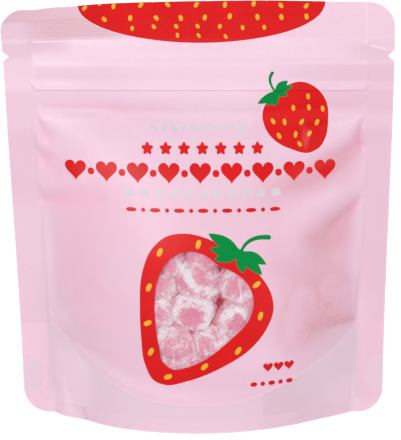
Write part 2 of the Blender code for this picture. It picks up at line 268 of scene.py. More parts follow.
# Heights in the film's relief round its seals
seams = {"baseRidge": 0.11, "baseStep": 0.12, "foldStep": 0.08, "edge": 0.02, "highEdge": 0.08, "wave": 0.30}


def relief(u, v):
    # flange, rib, the sunk seal at the top and the slack film under it
    def band(low, high, step):
        return ease(low - step, low, v) * (1 - ease(high, high + step, v))

    edge = sealLine(u, v)
    across = 1 - ease(edge - 1.0, edge + 1.0, abs(u))
    z = zipBand
    rise = z["flange"] * band(z["low"], z["high"], 0.5) * across
    slant = edge + (v - z["ribLow"]) * 0.6
    ribEnd = 1 - ease(slant - 1.0, slant, abs(u))
    crown = np.clip((v - z["ribLow"]) / (z["ribHigh"] - z["ribLow"]), 0, 1)
    rise = rise + z["rib"] * (1 - z["ribSlope"] * crown) * band(z["ribLow"], z["ribHigh"], 0.45) * ribEnd
    valley = np.clip(1 - abs(v - z["low"]) / np.where(v > z["low"], 6.0, 4.0), 0, 1) ** 2
    rise = rise - (z["valley"] + z["sideValley"] * ease(15, 45, abs(u))) * valley * across
    above = np.clip(1 - (v - z["ribHigh"]) / 5.0, 0, 1) ** 2 * ease(-0.5, 0, v - z["ribHigh"])
    rise = rise - z["groove"] * above * across
    low, high = sealBand["low"], sealBand["high"]
    rise = rise - sealBand["sunk"] * band(low, high, 0.5)
    slack = ease(z["high"] + 0.6, z["high"] + 3.5, v) * (1 - ease(low - 2.2, low - 0.2, v))
    rise = rise + sealBand["slack"] * slack * (1 - ease(edge - 9, edge, abs(u)))
    # the base seal: a doubled film below a fine ridge
    below = skirtLine(u) - v
    inside = 1 - ease(edge - 0.5, edge + 0.5, abs(u))
    ridge = seams["baseRidge"] * np.exp(-((below + 0.2) / 0.6) ** 2)
    rise = rise + (ridge - seams["baseStep"] * ease(-0.2, 1.2, below)) * inside
    fold = 1 - inside
    rise = rise + seams["foldStep"] * ease(-0.4, 0.4, base["skirtHigh"] - v) * fold
    # the edge line beside each side seal, and a wave in the seal
    line = seams["edge"] + seams["highEdge"] * ease(38, 42, v)
    rise = rise + line * np.exp(-((abs(u) - edge) / 0.7) ** 2)
    rise = rise + seams["wave"] * np.exp(-((v - 121) / 5) ** 2) * fold
    return rise


def nearest(u, v, path):
    # distance to a line of points, and how far along it the nearest place is
    points = np.array(path, float).reshape(-1, 2)
    lengths = np.linalg.norm(np.diff(points, axis=0), axis=1)
    total = lengths.sum()
    best = np.full(np.shape(u), 1e9)
    share = np.zeros(np.shape(u))
    done = 0.0
    for (a, b), length in zip(zip(points, points[1:]), lengths):
        way = (b - a) / length
        t = np.clip((u - a[0]) * way[0] + (v - a[1]) * way[1], 0, length)
        gap = np.hypot(u - a[0] - way[0] * t, v - a[1] - way[1] * t)
        closer = gap < best
        best = np.where(closer, gap, best)
        share = np.where(closer, (done + t) / total, share)
        done += length
    return best, share


def creasing(u, v, creases, swells, puffs):
    rise = np.zeros(np.shape(u))
    for line, height, edge, reach in puffs:
        across, up = np.array(line).reshape(-1, 2).T
        below = np.interp(u, across, up) - v
        taper = (across[-1] - across[0]) * 0.45
        ends = ease(across[0] - 2, across[0] + 2, u) * (1 - ease(across[-1] - taper, across[-1], u))
        rise = rise + height * ends * ease(0, edge, below) * (1 - ease(reach * 0.3, reach, below))
    for path, (startWidth, startHeight), (endWidth, endHeight) in creases:
        gap, share = nearest(u, v, path)
        width = startWidth + (endWidth - startWidth) * share
        height = startHeight + (endHeight - startHeight) * share
        rise = rise + height * np.exp(-((gap / width) ** 2)) * (1 - ease(0.8, 1.0, share) * 0.6)
    for su, sv, halfWidth, halfHeight, depth in swells:
        rise = rise + depth * np.exp(-(((u - su) / halfWidth) ** 2) - ((v - sv) / halfHeight) ** 2)
    return rise


def narrowing(v):
    return 1 - film["baseNarrowing"] * (1 - ease(0, film["narrowingHeight"], v))


def clingAndShading(u, v):
    # pink where gummies show through the front and painted shade in its deep creases; below 0, painted
    # highlights
    total = np.zeros(np.shape(u))
    for cu, cv, halfWidth, halfHeight, turn, strength in pinkAndShadePatches:
        c, s = math.cos(math.radians(turn)), math.sin(math.radians(turn))
        across, up = (u - cu) * c + (v - cv) * s, (v - cv) * c - (u - cu) * s
        total = total + strength * np.exp(-((across / halfWidth) ** 2) - (up / halfHeight) ** 2)
    # painted shade along the deeper creases
    for path, (startWidth, startHeight), (endWidth, endHeight) in frontCreases:
        if startHeight < -0.6:
            gap, share = nearest(u, v, path)
            width = (startWidth + (endWidth - startWidth) * share) * 1.3
            deep = -(startHeight + (endHeight - startHeight) * share)
            total = total + 0.5 * deep * np.exp(-((gap / width) ** 2)) * (1 - ease(0.7, 1.0, share) * 0.6)
    edge = sealLine(u, v)
    within = 1 - ease(edge - 1.5, edge, abs(u))
    # a painted pale band above the base seal
    gap = v - skirtLine(np.minimum(abs(u), inner))
    free = (1 - ease(50, 60, -u)) * (1 - ease(34, 50, u)) * (1 - 0.6 * ease(-10, 10, u))
    total = total - 0.45 * np.exp(-(((gap - 3.0) / 3.5) ** 2)) * free
    return np.clip(total, -1, 1.15) * within * ease(-0.5, 1.5, gap)


def filmPoint(u, v, side, inset=0.0):
    # the place in metres of pattern point (u, v) on the front (side -1) or back (+1)
    u, v = np.asarray(u, float), np.asarray(v, float)
    x = u * narrowing(v) + film["lean"] * (1 - v / film["height"])
    within = 1 - ease(-1.5, 1.5, abs(u) - sealLine(u, v))
    if side < 0:
        folds = creasing(u, v, frontCreases, frontSwells, frontPuffs)
    else:
        folds = creasing(-u, v, frontCreases, (), frontPuffs) * film["backFolds"]
    y = side * (film["halfSeal"] + bulge(u, v) + relief(u, v) + folds * within - inset)
    inward = u - film["curlPlace"]
    curl = np.exp(-inward / film["curlWidth"])
    up = np.clip((v - film["curlStart"]) / (film["height"] - film["curlStart"]), 0, None)
    y = y - film["curlForward"] * curl * up**1.6
    drop = film["curlDrop"] * np.exp(-inward / film["dropWidth"]) + film["rightDrop"] * ease(20, 75, u)
    drop = drop + waves(u, film["dips"])
    z = v - drop * up**3
    return np.stack(np.broadcast_arrays(x, y, z), -1) / 1000


# The print: flat outlines on the pattern, later ones on top of earlier ones

def smoothLoop(points, steps=7):
    # a closed curve through the points, with tangents weighted by the lengths between them
    points = np.array(points, float)
    before, after, later = np.roll(points, 1, 0), np.roll(points, -1, 0), np.roll(points, -2, 0)

    def length(way):
        return np.linalg.norm(way, axis=1)[:, None]

    def tangent(a, b, c):
        first, second = length(b - a), length(c - b)
        return ((b - a) / first * second + (c - b) / second * first) / (first + second)

    gap = length(after - points)
    start, end = tangent(before, points, after) * gap, tangent(points, after, later) * gap
    t = np.linspace(0, 1, steps, endpoint=False)[:, None, None]
    curve = ((2 * t**3 - 3 * t**2 + 1) * points + (t**3 - 2 * t**2 + t) * start
             + (3 * t**2 - 2 * t**3) * after + (t**3 - t**2) * end)
    return curve.transpose(1, 0, 2).reshape(-1, 2)


def grown(curve, grow):
    # a clockwise loop moved outwards
    way = np.roll(curve, -1, 0) - np.roll(curve, 1, 0)
    outward = np.stack([-way[:, 1], way[:, 0]], 1) / np.linalg.norm(way, axis=1)[:, None]
    return curve + outward * grow


def windowOutline(grow=0.0):
    return grown(smoothLoop(windowPoints), grow)


def capsule(centre, length, width, turn, count=14):
    # a rounded dash or seed
    t = np.linspace(0, 2 * math.pi, count, endpoint=False)
    x = np.sign(np.cos(t)) * np.abs(np.cos(t)) ** 0.85 * length / 2
    y = np.sign(np.sin(t)) * np.abs(np.sin(t)) ** 0.85 * width / 2
    a = math.radians(turn)
    return np.stack([centre[0] + x * math.cos(a) - y * math.sin(a),
                     centre[1] + x * math.sin(a) + y * math.cos(a)], 1)


def leaf(root, tip, width, curve=0.0, count=9):
    # a pointed oval from root to tip, bent sideways by curve
    root, tip = np.array(root, float), np.array(tip, float)
    way = tip - root
    side = np.array([-way[1], way[0]]) / np.linalg.norm(way)
    t = np.linspace(0, 1, count)
    middle = root + way * t[:, None] + side * (curve * np.sin(math.pi * t))[:, None]
    half = width / 2 * np.sin(math.pi * t**0.8) ** 0.75
    half[0] = width * 0.22
    half[-1] = 0
    left = middle + side * half[:, None]
    right = middle - side * half[:, None]
    return np.concatenate([right, left[-2::-1]])


def strip(points, startWidth, endWidth):
    # a stem: a bent line with a rounded end
    points = np.array(points, float)
    t = np.linspace(0, 1, 12)
    a, b, c = points
    line = (1 - t[:, None]) ** 2 * a + 2 * (t * (1 - t))[:, None] * b + (t**2)[:, None] * c
    way = np.gradient(line, axis=0)
    way /= np.linalg.norm(way, axis=1)[:, None]
    side = np.stack([-way[:, 1], way[:, 0]], 1)
    half = (startWidth + (endWidth - startWidth) * t)[:, None] / 2
    cap = [line[-1] + endWidth / 2 * (way[-1] * math.sin(k) - side[-1] * math.cos(k))
           for k in np.linspace(0, math.pi, 7)[1:-1]]
    return np.concatenate([line - side * half, cap, (line + side * half)[::-1]])


def heart(centre, height, count=26):
    t = np.linspace(0, 2 * math.pi, count, endpoint=False)
    x = 16 * np.sin(t) ** 3
    y = 13 * np.cos(t) - 5 * np.cos(2 * t) - 2 * np.cos(3 * t) - np.cos(4 * t)
    return np.stack([centre[0] + x * height / 29, centre[1] + (y + 2.5) * height / 29], 1)


def blossom(centre, size, turn=0.0, count=30):
    t = np.linspace(0, 2 * math.pi, count, endpoint=False)
    r = size / 2 * (0.80 + 0.20 * np.cos(5 * (t + turn)))
    return np.stack([centre[0] + r * np.sin(t), centre[1] + r * np.cos(t)], 1)


def dome(centre, width, height, count=18):
    t = np.linspace(0, 2 * math.pi, count, endpoint=False)
    x = np.cos(t) * width / 2
    y = np.where(np.sin(t) > 0, np.sin(t) * height * 0.62, np.sin(t) * height * 0.38)
    return np.stack([centre[0] + x, centre[1] + y], 1)


# The film's materials, in the order of their slots
inks = ["filmFront", "filmBack", "underside", "pocketWall",
        "redInk", "yellowInk", "greenInk", "paleInk", "whiteInk"]

crown = {
    "leaves": (((15.6, 75.6), (3.0, 83.2), 5.0, -0.3), ((15.0, 75.2), (3.5, 77.3), 4.2, 0.2),
               ((15.5, 74.8), (5.3, 73.1), 4.2, 0.3), ((16.3, 75.2), (17.4, 67.2), 4.6, 0.2),
               ((17.0, 75.0), (25.6, 66.0), 4.4, 0.1), ((17.0, 75.2), (27.4, 70.2), 4.2, 0.5)),
    "heart": ((16.0, 75.2), 4.8, 3.4, -15),
    "stem": ((16.9, 76.2), (19.6, 82.2), (28.4, 81.0)),
    "stemWidth": (1.2, 1.9),
}
badgePoints = (
    (25.9, 128.0), (26.6, 131.3), (29.1, 135.3), (33.3, 139.0), (37.8, 141.2), (41.2, 141.9),
    (45.2, 141.1), (49.0, 138.6), (51.8, 134.7), (53.0, 131.2), (53.1, 126.1), (52.2, 119.8),
    (49.5, 115.3), (44.7, 113.3), (37.9, 114.9), (31.1, 118.3), (27.3, 122.7),
)
badgeCrown = {
    "leaves": (((31.6, 137.5), (23.9, 132.8), 3.4, 0.3), ((31.2, 137.0), (27.7, 131.6), 2.8, 0.0),
               ((31.4, 137.0), (30.7, 131.5), 3.0, 0.2), ((31.4, 137.4), (36.5, 136.2), 2.4, 0.0),
               ((31.6, 137.9), (38.5, 140.3), 2.8, 0.0), ((31.4, 138.0), (36.4, 142.2), 3.2, 0.3)),
    "heart": ((31.4, 137.7), 2.6, 1.8, 20),
    "stem": ((31.0, 138.2), (27.6, 142.4), (30.0, 145.5)),
    "stemWidth": (0.8, 1.3),
}
# Rows of seeds: height, pitch, where the row starts, and a seed's length and width
badgeSeedRows = (
    (135.6, 6.2, 39.0, (2.6, 1.5)), (130.6, 6.2, 32.6, (2.6, 1.5)), (125.6, 6.2, 29.6, (2.6, 1.5)),
    (120.6, 6.2, 32.8, (2.6, 1.5)), (116.4, 6.2, 42.0, (2.4, 1.4)),
)
topSeedRows = (
    (173.9, 11.3, -46, (2.6, 1.6)), (168.6, 10.4, -49, (2.6, 1.7)), (164.4, 8.9, -44.5, (2.1, 1.5)),
    (160.9, 9.6, -28, (2.2, 1.3)), (176.3, 22.6, -40.4, (2.6, 1.6)),
)
topBerry = {"leftEnd": (-48.6, 176.5), "rightEnd": (51.6, 176.5), "low": 158.0, "middle": 0.8, "rim": 0.45}


def topOutline(grow, count=70):
    # the lower part of a big berry, cut off by the top of the pouch
    left, right = topBerry["leftEnd"], topBerry["rightEnd"]
    t = np.linspace(0, 1, count)
    a = -math.pi + math.pi * t
    half = np.where(t < 0.5, topBerry["middle"] - left[0], right[0] - topBerry["middle"]) + grow
    x = topBerry["middle"] + np.cos(a) * half
    depth = left[1] - topBerry["low"] + grow
    y = left[1] + np.sign(np.sin(a)) * np.abs(np.sin(a)) ** 0.86 * depth
    line = np.stack([x, y], 1)
    return np.concatenate([line, [[right[0] + grow, 178.5], [left[0] - grow, 178.5]]])


def seedsInside(outline, hole, rows, draw):
    # rows of slightly scattered seeds that lie wholly in the outline, and not in the hole
    seeds = []
    for v, pitch, start, size in rows:
        for k in range(40):
            u = start + pitch * k + draw.uniform(-0.8, 0.8)
            spot = (u, v + draw.uniform(-0.5, 0.5))
            shape = capsule(spot, size[0], size[1], draw.choice((55, 80, 100, 125)), 10)
            if insideOf(outline, shape).all() and (hole is None or not insideOf(hole, shape).any()):
                seeds.append(shape)
    return seeds


def insideOf(outline, points):
    points = np.asarray(points, float)
    found = np.zeros(len(points), bool)
    for (au, av), (bu, bv) in zip(outline, np.roll(outline, -1, axis=0)):
        if av == bv:
            continue
        crosses = (av > points[:, 1]) != (bv > points[:, 1])
        at = au + (points[:, 1] - av) * (bu - au) / (bv - av)
        found ^= crosses & (points[:, 0] < at)
    return found


def sealedTop():
    # red segment with a fine pale rim, and rows of seeds
    seeds = seedsInside(topOutline(-1.0), None, topSeedRows, random.Random(5))
    shapes = [("whiteInk", topOutline(topBerry["rim"])), ("redInk", topOutline(0.0))]
    return shapes + [("yellowInk", seed) for seed in seeds]


def leaves(plant, count):
    shapes = [leaf(root, tip, width, curve, count) for root, tip, width, curve in plant["leaves"]]
    shapes += [capsule(*plant["heart"]), strip(plant["stem"], *plant["stemWidth"])]
    return [("greenInk", shape) for shape in shapes]


def frontPrint():
    shapes = sealedTop()
    shapes.append(("redInk", smoothLoop(ringPoints)))
    for u, v, turn in ringSeeds:
        shapes.append(("yellowInk", capsule((u, v), 3.7, 2.0, turn)))
    shapes += leaves(crown, 9)
    # the small berry
    small = smoothLoop(badgePoints, 5)
    shapes.append(("whiteInk", grown(small, 0.4)))
    shapes.append(("redInk", small))
    shapes += leaves(badgeCrown, 7)
    crownArea = np.array([(20, 130.0), (33.5, 130.0), (38.5, 135.0), (40.5, 140.0), (20, 150)])
    seeds = seedsInside(grown(small, -1.3), crownArea, badgeSeedRows, random.Random(9))
    shapes += [("yellowInk", seed) for seed in seeds]
    for name in ("blossoms", "hearts", "domes", "dashes", "petals", "smallHearts", "smallDashes"):
        shapes += ornamentRow(name)
    return shapes


# Seeds on the ring: u, v and turn
ringSeeds = (
    (-17.4, 75.6, 62), (-1.2, 79.0, 72), (-22.4, 61.2, 62), (23.3, 62.3, 35), (-23.3, 46.5, 28),
    (24.9, 49.3, 72), (-22.2, 34.5, 60), (15.3, 35.3, 52), (0.8, 28.9, 42), (-15.0, 24.3, 22),
)

# Rows of plain ornaments
ornaments = {
    "blossoms": {"count": 7, "middle": 1.0, "pitch": 7.6, "height": 115.6, "size": 5.2},
    "hearts": {"count": 9, "middle": 0.0, "pitch": 13.0, "height": 106.2, "size": 8.2, "disc": 2.8},
    "domes": {"count": 11, "middle": 1.0, "pitch": 6.05, "height": 98.2, "size": (4.2, 3.4)},
    "dashes": {"count": 13, "middle": 1.0, "pitch": 5.0, "height": 92.0, "size": (4.4, 1.7), "points": 12},
    "petals": {"count": 10, "middle": -0.4, "pitch": 4.1, "height": 123.2, "size": (3.3, 1.8), "turn": 35},
    "smallHearts": {"count": 3, "middle": 32.8, "pitch": 4.6, "height": 27.2, "size": 4.0},
    "smallDashes": {"count": 5, "middle": 29.8, "pitch": 3.9, "height": 20.4, "size": (3, 2), "points": 10},
    "backDomes": {"count": 11, "middle": 0.0, "pitch": 6.05, "height": 118.0, "size": (4.2, 3.4)},
}


def ornamentRow(name):
    row = ornaments[name]
    shapes = []
    for k in range(row["count"]):
        u = row["middle"] + (k - (row["count"] - 1) / 2) * row["pitch"]
        spot, size = (u, row["height"]), row["size"]
        if name == "blossoms":
            shapes.append(("redInk", blossom(spot, size)))
        elif name == "hearts":
            shapes.append(("redInk", heart(spot, size)))
            if k:
                between = (u - row["pitch"] / 2, row["height"])
                shapes.append(("redInk", capsule(between, row["disc"], row["disc"], 0, 14)))
        elif name == "smallHearts":
            shapes.append(("redInk", heart(spot, size, 16)))
        elif name == "petals":
            shapes.append(("paleInk", capsule(spot, *size, row["turn"] if k % 2 else -row["turn"], 12)))
        elif name in ("domes", "backDomes"):
            shapes.append(("paleInk", dome(spot, *size)))
        else:
            length = size[0] if k % 2 == 0 else size[1]  # a long dash, then a dot
            shapes.append(("redInk", capsule(spot, length, size[1], 0, row["points"])))
    return shapes


def backPrint():
    return sealedTop() + ornamentRow("backDomes")


# Film mesh

def filmOutline():
    half, r, top = film["width"] / 2, film["cornerRadius"], film["height"]
    step = film["grain"]
    points = []

    def corner(u, v, start):
        for a in np.linspace(start, start + math.pi / 2, 14):
            points.append((u + r * math.cos(a), v + r * math.sin(a)))

    n, mouth, depth = film["notchHeight"], film["notchMouth"] / 2, film["notchDepth"]
    notch = [(half, n - mouth), (half - depth * 0.55, n - mouth * 0.5), (half - depth, n),
             (half - depth * 0.55, n + mouth * 0.5), (half, n + mouth)]
    low = [(half, v) for v in np.arange(r + step, n - mouth - 0.4, step)]
    high = [(half, v) for v in np.arange(n + mouth + step * 0.7, top - r - 0.4, step)]
    side = low + notch + high
    end = base["gussetEnd"]
    across = list(np.linspace(-end, end, int(2 * end / step) + 1))
    far = list(np.arange(end + step, half - r - 0.4, step))
    across = [-u for u in reversed(far)] + across + far
    corner(-half + r, r, math.pi)
    points += [(u, 0.0) for u in across]
    corner(half - r, r, -math.pi / 2)
    points += side
    corner(half - r, top - r, 0.0)
    points += [(u, top) for u in reversed(across)]
    corner(-half + r, top - r, math.pi / 2)
    points += [(-u, v) for u, v in reversed(side)]
    return np.array(points)


def resample(outline, spacing):
    # extra points along the long edges of an outline
    points = []
    for a, b in zip(outline, np.roll(outline, -1, axis=0)):
        count = max(int(np.linalg.norm(b - a) / spacing), 1)
        points += [a + (b - a) * k / count for k in range(count)]
    return np.array(points)


def ridgeSpots():
    # mesh points in close rows where the relief steps: zip, top seal, base seal and side seals
    spots = []
    across = np.arange(-film["width"] / 2, film["width"] / 2, film["grain"])
    z, s = zipBand, sealBand
    rows = [z["low"] - 0.5, z["low"], z["ribLow"] - 0.45, z["ribLow"], z["ribHigh"], z["ribHigh"] + 0.45,
            z["high"], z["high"] + 0.5, s["low"] - 0.5, s["low"], s["high"], s["high"] + 0.5]
    for k, v in enumerate(rows):
        spots += [(u + film["grain"] / 2 * (k % 2), v) for u in across]
    for shift in (-0.8, -0.2, 0.5):
        spots += [(u, float(skirtLine(u)) - shift) for u in across if abs(u) < inner]
    for v in np.arange(2, film["height"] - 2, film["grain"]):
        for side in (-1, 1):
            spots += [(side * (float(sealLine(side, v)) + shift), v) for shift in (-0.8, -0.2, 0.4, 1.0)]
    return spots


def triangulate(outline, shapes, spacing):
    # one flat triangulation whose edges follow the outline and every printed shape
    points, edges = [tuple(p) for p in outline], []
    edges += [(i, (i + 1) % len(outline)) for i in range(len(outline))]
    for shape in shapes:
        shape = resample(shape, film["printGrain"])
        first = len(points)
        points += [tuple(p) for p in shape]
        edges += [(first + i, first + (i + 1) % len(shape)) for i in range(len(shape))]
    fixed = np.array(points)
    lattice = []
    rows = np.arange(spacing * 0.8, film["height"], spacing * 0.92)
    for row, v in enumerate(rows):
        shift = spacing / 2 if row % 2 else 0.0
        lattice += [(u, v) for u in np.arange(-film["width"] / 2 + shift, film["width"] / 2, spacing)]
    cell = 0.45
    taken = set()

    def block(spots):
        for u, v in np.floor(spots / cell).astype(int):
            taken.update((u + i, v + j) for i in (-1, 0, 1) for j in (-1, 0, 1))

    def freeOf(spots):
        spots = np.array(spots)
        spots = spots[insideOf(outline, spots)]
        return spots[[(u, v) not in taken for u, v in np.floor(spots / cell).astype(int)]]

    block(fixed)
    ridges = freeOf(ridgeSpots())
    block(ridges)
    extra = np.concatenate([ridges, freeOf(lattice)])
    points = [Vector(p) for p in points] + [Vector(p) for p in extra]
    corners, _, triangles, _, _, _ = delaunay_2d_cdt(points, edges, [], 0, 1e-5)
    corners = np.array([tuple(p) for p in corners])
    triangles = np.array([list(t) for t in triangles])
    middle = corners[triangles].mean(1)
    keep = insideOf(outline, middle)
    return corners, triangles[keep]


def inkOf(middles, shapes, plain):
    ink = np.full(len(middles), inks.index(plain))
    for name, outline in shapes:
        low, high = outline.min(0), outline.max(0)
        near = np.where(((middles >= low) & (middles <= high)).all(1))[0]
        hit = near[insideOf(outline, middles[near])]
        ink[hit] = inks.index(name)
    return ink


# The space behind the window: its back wall and how far back the candies reach, in metres, and the
# film's inner side round the hole, as how far out and how far behind the outer face, in millimetres
pocket = {"back": -0.0083, "reach": -0.0070, "lip": ((0.0, 0.12), (1.5, 0.14), (3.5, 0.17), (6.0, 0.20))}


class Skin:
    # points, their places on the pattern, faces and inks, gathered part by part
    def __init__(self):
        self.points, self.pattern, self.faces, self.ink = [], [], [], []
        self.total = 0

    def add(self, points, flat):
        self.points.append(np.asarray(points))
        self.pattern.append(np.asarray(flat, float))
        self.total += len(points)
        return list(range(self.total - len(points), self.total))

    def face(self, corners, ink):
        self.faces.append(corners)
        self.ink.append(inks.index(ink))


def makeFilm():
    outline = filmOutline()
    front, back = frontPrint(), backPrint()
    hole = windowOutline(0.0)
    flats = [shape for _, shape in front] + [hole]
    known = {shape.tobytes() for shape in flats}
    flats += [shape for _, shape in back if shape.tobytes() not in known]
    corners, triangles = triangulate(outline, flats, film["grain"])
    used = np.unique(triangles)
    place = np.full(len(corners), -1)
    place[used] = np.arange(len(used))
    corners, triangles = corners[used], place[triangles]
    middle = corners[triangles].mean(1)
    print("film: triangles in the pattern", len(triangles))

    skin = Skin()
    for side in (-1, 1):
        skin.add(filmPoint(corners[:, 0], corners[:, 1], side), corners)
    count = len(corners)
    inHole = insideOf(hole, middle)
    frontTriangles = triangles[~inHole]
    skin.faces = [list(t) for t in frontTriangles] + [[count + i for i in t[::-1]] for t in triangles]
    skin.ink = [*inkOf(middle[~inHole], front, "filmFront"), *inkOf(middle, back, "filmBack")]
    rim = edgesOf(triangles)
    addRim(skin, corners, rim)
    outside = set(rim)
    follow = {b: a for a, b in edgesOf(frontTriangles) if (a, b) not in outside}
    addPocket(skin, corners, follow)

    points = np.concatenate(skin.points)
    obj = newMesh("pouchFilm", points, skin.faces, skin.ink, inks, np.concatenate(skin.pattern))
    clingAndShade = np.zeros(len(points))
    clingAndShade[:count] = clingAndShading(corners[:, 0], corners[:, 1])
    clingAndShade[count:2 * count] = clingAndShading(-corners[:, 0], corners[:, 1])
    store(obj.data, "clingAndShade", clingAndShade)
    return obj


def addRim(skin, corners, rim):
    # the film's cut edge, apart from the open foot, then the skirts and gusset under the pouch
    count = len(corners)
    end = base["gussetEnd"] + 1e-4

    def isFoot(edge):
        return all(corners[i][1] < 1e-6 and abs(corners[i][0]) <= end for i in edge)

    for a, b in rim:
        if not isFoot((a, b)):
            skin.face([b, a, count + a, count + b], "filmFront")
    foot = sorted({i for edge in rim if isFoot(edge) for i in edge}, key=lambda i: corners[i][0])
    sections = []
    for i in foot:
        flat = hollowSection(corners[i][0])
        sections.append(skin.add(flat, np.tile(corners[i], (len(flat), 1))))
    for a, b, s, t in zip(foot, foot[1:], sections, sections[1:]):
        skin.face([a, s[0], t[0], b], "filmFront")
        skin.face([count + b, t[-1], s[-1], count + a], "filmFront")
        for j in range(len(s) - 1):
            skin.face([s[j], s[j + 1], t[j + 1], t[j]], "underside")
    for k in (0, -1):
        loop = [foot[k], *sections[k], count + foot[k]]
        ends = np.concatenate(skin.points)[loop]
        hub = skin.add([ends[1:-1].mean(0)], [corners[foot[k]]])[0]
        for a, b in zip(loop, loop[1:] + loop[:1]):
            skin.face([a, b, hub], "underside")


def addPocket(skin, corners, follow):
    # inside of the film round the window, and the space behind it. follow goes round the hole's edge
    start = next(iter(follow))
    loop = [start]
    while follow[loop[-1]] != start:
        loop.append(follow[loop[-1]])
    flat = corners[loop]
    centre = np.array(windowPoints).mean(0)
    rings = [loop]
    for grow, depth in pocket["lip"]:
        wide = flat + (flat - centre) / np.linalg.norm(flat - centre, axis=1)[:, None] * grow
        last = filmPoint(wide[:, 0], wide[:, 1], -1, depth)
        rings.append(skin.add(last, wide))
    for share in (0.5, 1.0):
        deep = last.copy()
        deep[:, 1] = last[:, 1] + (pocket["back"] - last[:, 1]) * share
        rings.append(skin.add(deep, wide))
    count = len(loop)
    for near, far in zip(rings, rings[1:]):
        for i in range(count):
            j = (i + 1) % count
            skin.face([near[i], near[j], far[j], far[i]], "pocketWall")
    hub = skin.add([deep.mean(0)], [centre])[0]
    for i in range(count):
        skin.face([far[i], far[(i + 1) % count], hub], "pocketWall")


def edgesOf(triangles):
    # the sides that only one triangle has
    once = {(a, b) for t in triangles for a, b in ((t[0], t[1]), (t[1], t[2]), (t[2], t[0]))}
    return [(a, b) for a, b in once if (b, a) not in once]


def hollowSection(u):
    # inner wall of the front skirt, the gusset, and the inner wall of the back skirt
    skirt = skirtLine(u)
    rise = float(ease(base["gussetFlat"], film["footHalfWidth"], abs(u)))
    middle = base["gussetRise"] * rise - base["gussetSag"]
    heights = np.linspace(0, skirt, 10)
    wall = filmPoint(np.full(10, u), heights, 1, base["skirtThickness"])
    top = wall[-1]
    roof = []
    for share in np.linspace(1, 0, 13)[1:]:
        z = max(middle + (skirt - middle) * share**2, 0.25)
        roof.append((top[0], top[1] * share, z / 1000))
    half = np.concatenate([wall, roof])
    front = half * (1, -1, 1)
    return np.concatenate([front, half[-2::-1]])


# The pattern as a UV map: millimetres across the whole map, and where the pattern's origin lies in it
patternSpace = {"size": 200, "across": 0.5, "up": 0.06}


def newMesh(name, points, faces, ink, materials, pattern=None):
    mesh = bpy.data.meshes.new(name)
    mesh.from_pydata([tuple(p) for p in points], [], [tuple(int(i) for i in f) for f in faces])
    for material in materials:
        mesh.materials.append(bpy.data.materials[material])
    mesh.polygons.foreach_set("material_index", np.array(ink, np.int32))
    if pattern is not None:
        layer = mesh.uv_layers.new(name="pattern")
        corner = np.empty(len(mesh.loops), np.int32)
        mesh.loops.foreach_get("vertex_index", corner)
        flat = pattern[corner] / patternSpace["size"] + (patternSpace["across"], patternSpace["up"])
        layer.data.foreach_set("uv", flat.ravel())
    shape = bmesh.new()
    shape.from_mesh(mesh)
    bmesh.ops.recalc_face_normals(shape, faces=shape.faces)
    shape.to_mesh(mesh)
    shape.free()
    mesh.shade_smooth()
    mesh.set_sharp_from_angle(angle=math.radians(50))
    mesh.update()
    obj = bpy.data.objects.new(name, mesh)
    scene.collection.objects.link(obj)
    return obj


def store(mesh, name, values, kind="FLOAT"):
    # a number or vector for each point, which a material reads by its name
    field = "value" if kind == "FLOAT" else "vector"
    data = mesh.attributes.new(name, kind, "POINT").data
    data.foreach_set(field, np.asarray(values, np.float32).ravel())


# Shader and geometry trees: Signal wraps a socket, so that sums on it add nodes

def operator(operation, swapped=False):
    if swapped:
        return lambda self, other: self.calc(operation, other, self)
    return lambda self, other: self.calc(operation, self, other)


class Signal:
    def __init__(self, tree, socket):
        self.tree, self.socket = tree, socket

    def calc(self, operation, *values):
        return self.tree.add("ShaderNodeMath", {"operation": operation}, dict(enumerate(values)))

    __add__, __radd__ = operator("ADD"), operator("ADD", True)
    __sub__, __rsub__ = operator("SUBTRACT"), operator("SUBTRACT", True)
    __mul__, __rmul__ = operator("MULTIPLY"), operator("MULTIPLY", True)
    __truediv__, __rtruediv__ = operator("DIVIDE"), operator("DIVIDE", True)
    __pow__, least, most = operator("POWER"), operator("MINIMUM"), operator("MAXIMUM")

    def __abs__(self):
        return self.calc("ABSOLUTE", self)

    def step(self, start, end):
        # 0 before start, 1 after end, smooth between
        if start > end:
            return 1 - self.step(end, start)
        return self.tree.add("ShaderNodeMapRange", {"interpolation_type": "SMOOTHSTEP"},
                             {"Value": self, "From Min": start, "From Max": end})


class NodeTree:
    def __init__(self, tree):
        self.tree = tree

    def add(self, kind, settings=None, values=None, output=0):
        node = self.tree.nodes.new(kind)
        for name, value in (settings or {}).items():
            setattr(node, name, value)
        for name, value in (values or {}).items():
            if isinstance(name, int):
                socket = node.inputs[name]
            else:
                socket = next(s for s in node.inputs if s.name == name and s.enabled)
            if isinstance(value, Signal):
                self.tree.links.new(value.socket, socket)
            else:
                socket.default_value = value
        outputs = [s for s in node.outputs if s.enabled]
        if isinstance(output, str):
            return Signal(self, next(s for s in outputs if s.name == output))
        return Signal(self, outputs[output])

    def mix(self, factor, first, second):
        def colour(value):
            return value if isinstance(value, Signal) else (*value, 1)

        return self.add("ShaderNodeMix", {"data_type": "RGBA"},
                        {"Factor": factor, "A": colour(first), "B": colour(second)})

    def attribute(self, name, output="Fac"):
        return self.add("ShaderNodeAttribute", {"attribute_name": name}, output=output)

    def noise(self, place, scale, detail=3.0, distortion=0.0, roughness=0.5):
        return self.add("ShaderNodeTexNoise", {}, {"Vector": place, "Scale": scale, "Detail": detail,
                                                   "Roughness": roughness, "Distortion": distortion})


def srgb(r, g, b):
    # linear colour of an everyday 0 to 255 one
    def linear(c):
        c = c / 255
        return c / 12.92 if c <= 0.04045 else ((c + 0.055) / 1.055) ** 2.4

    return (linear(r), linear(g), linear(b))


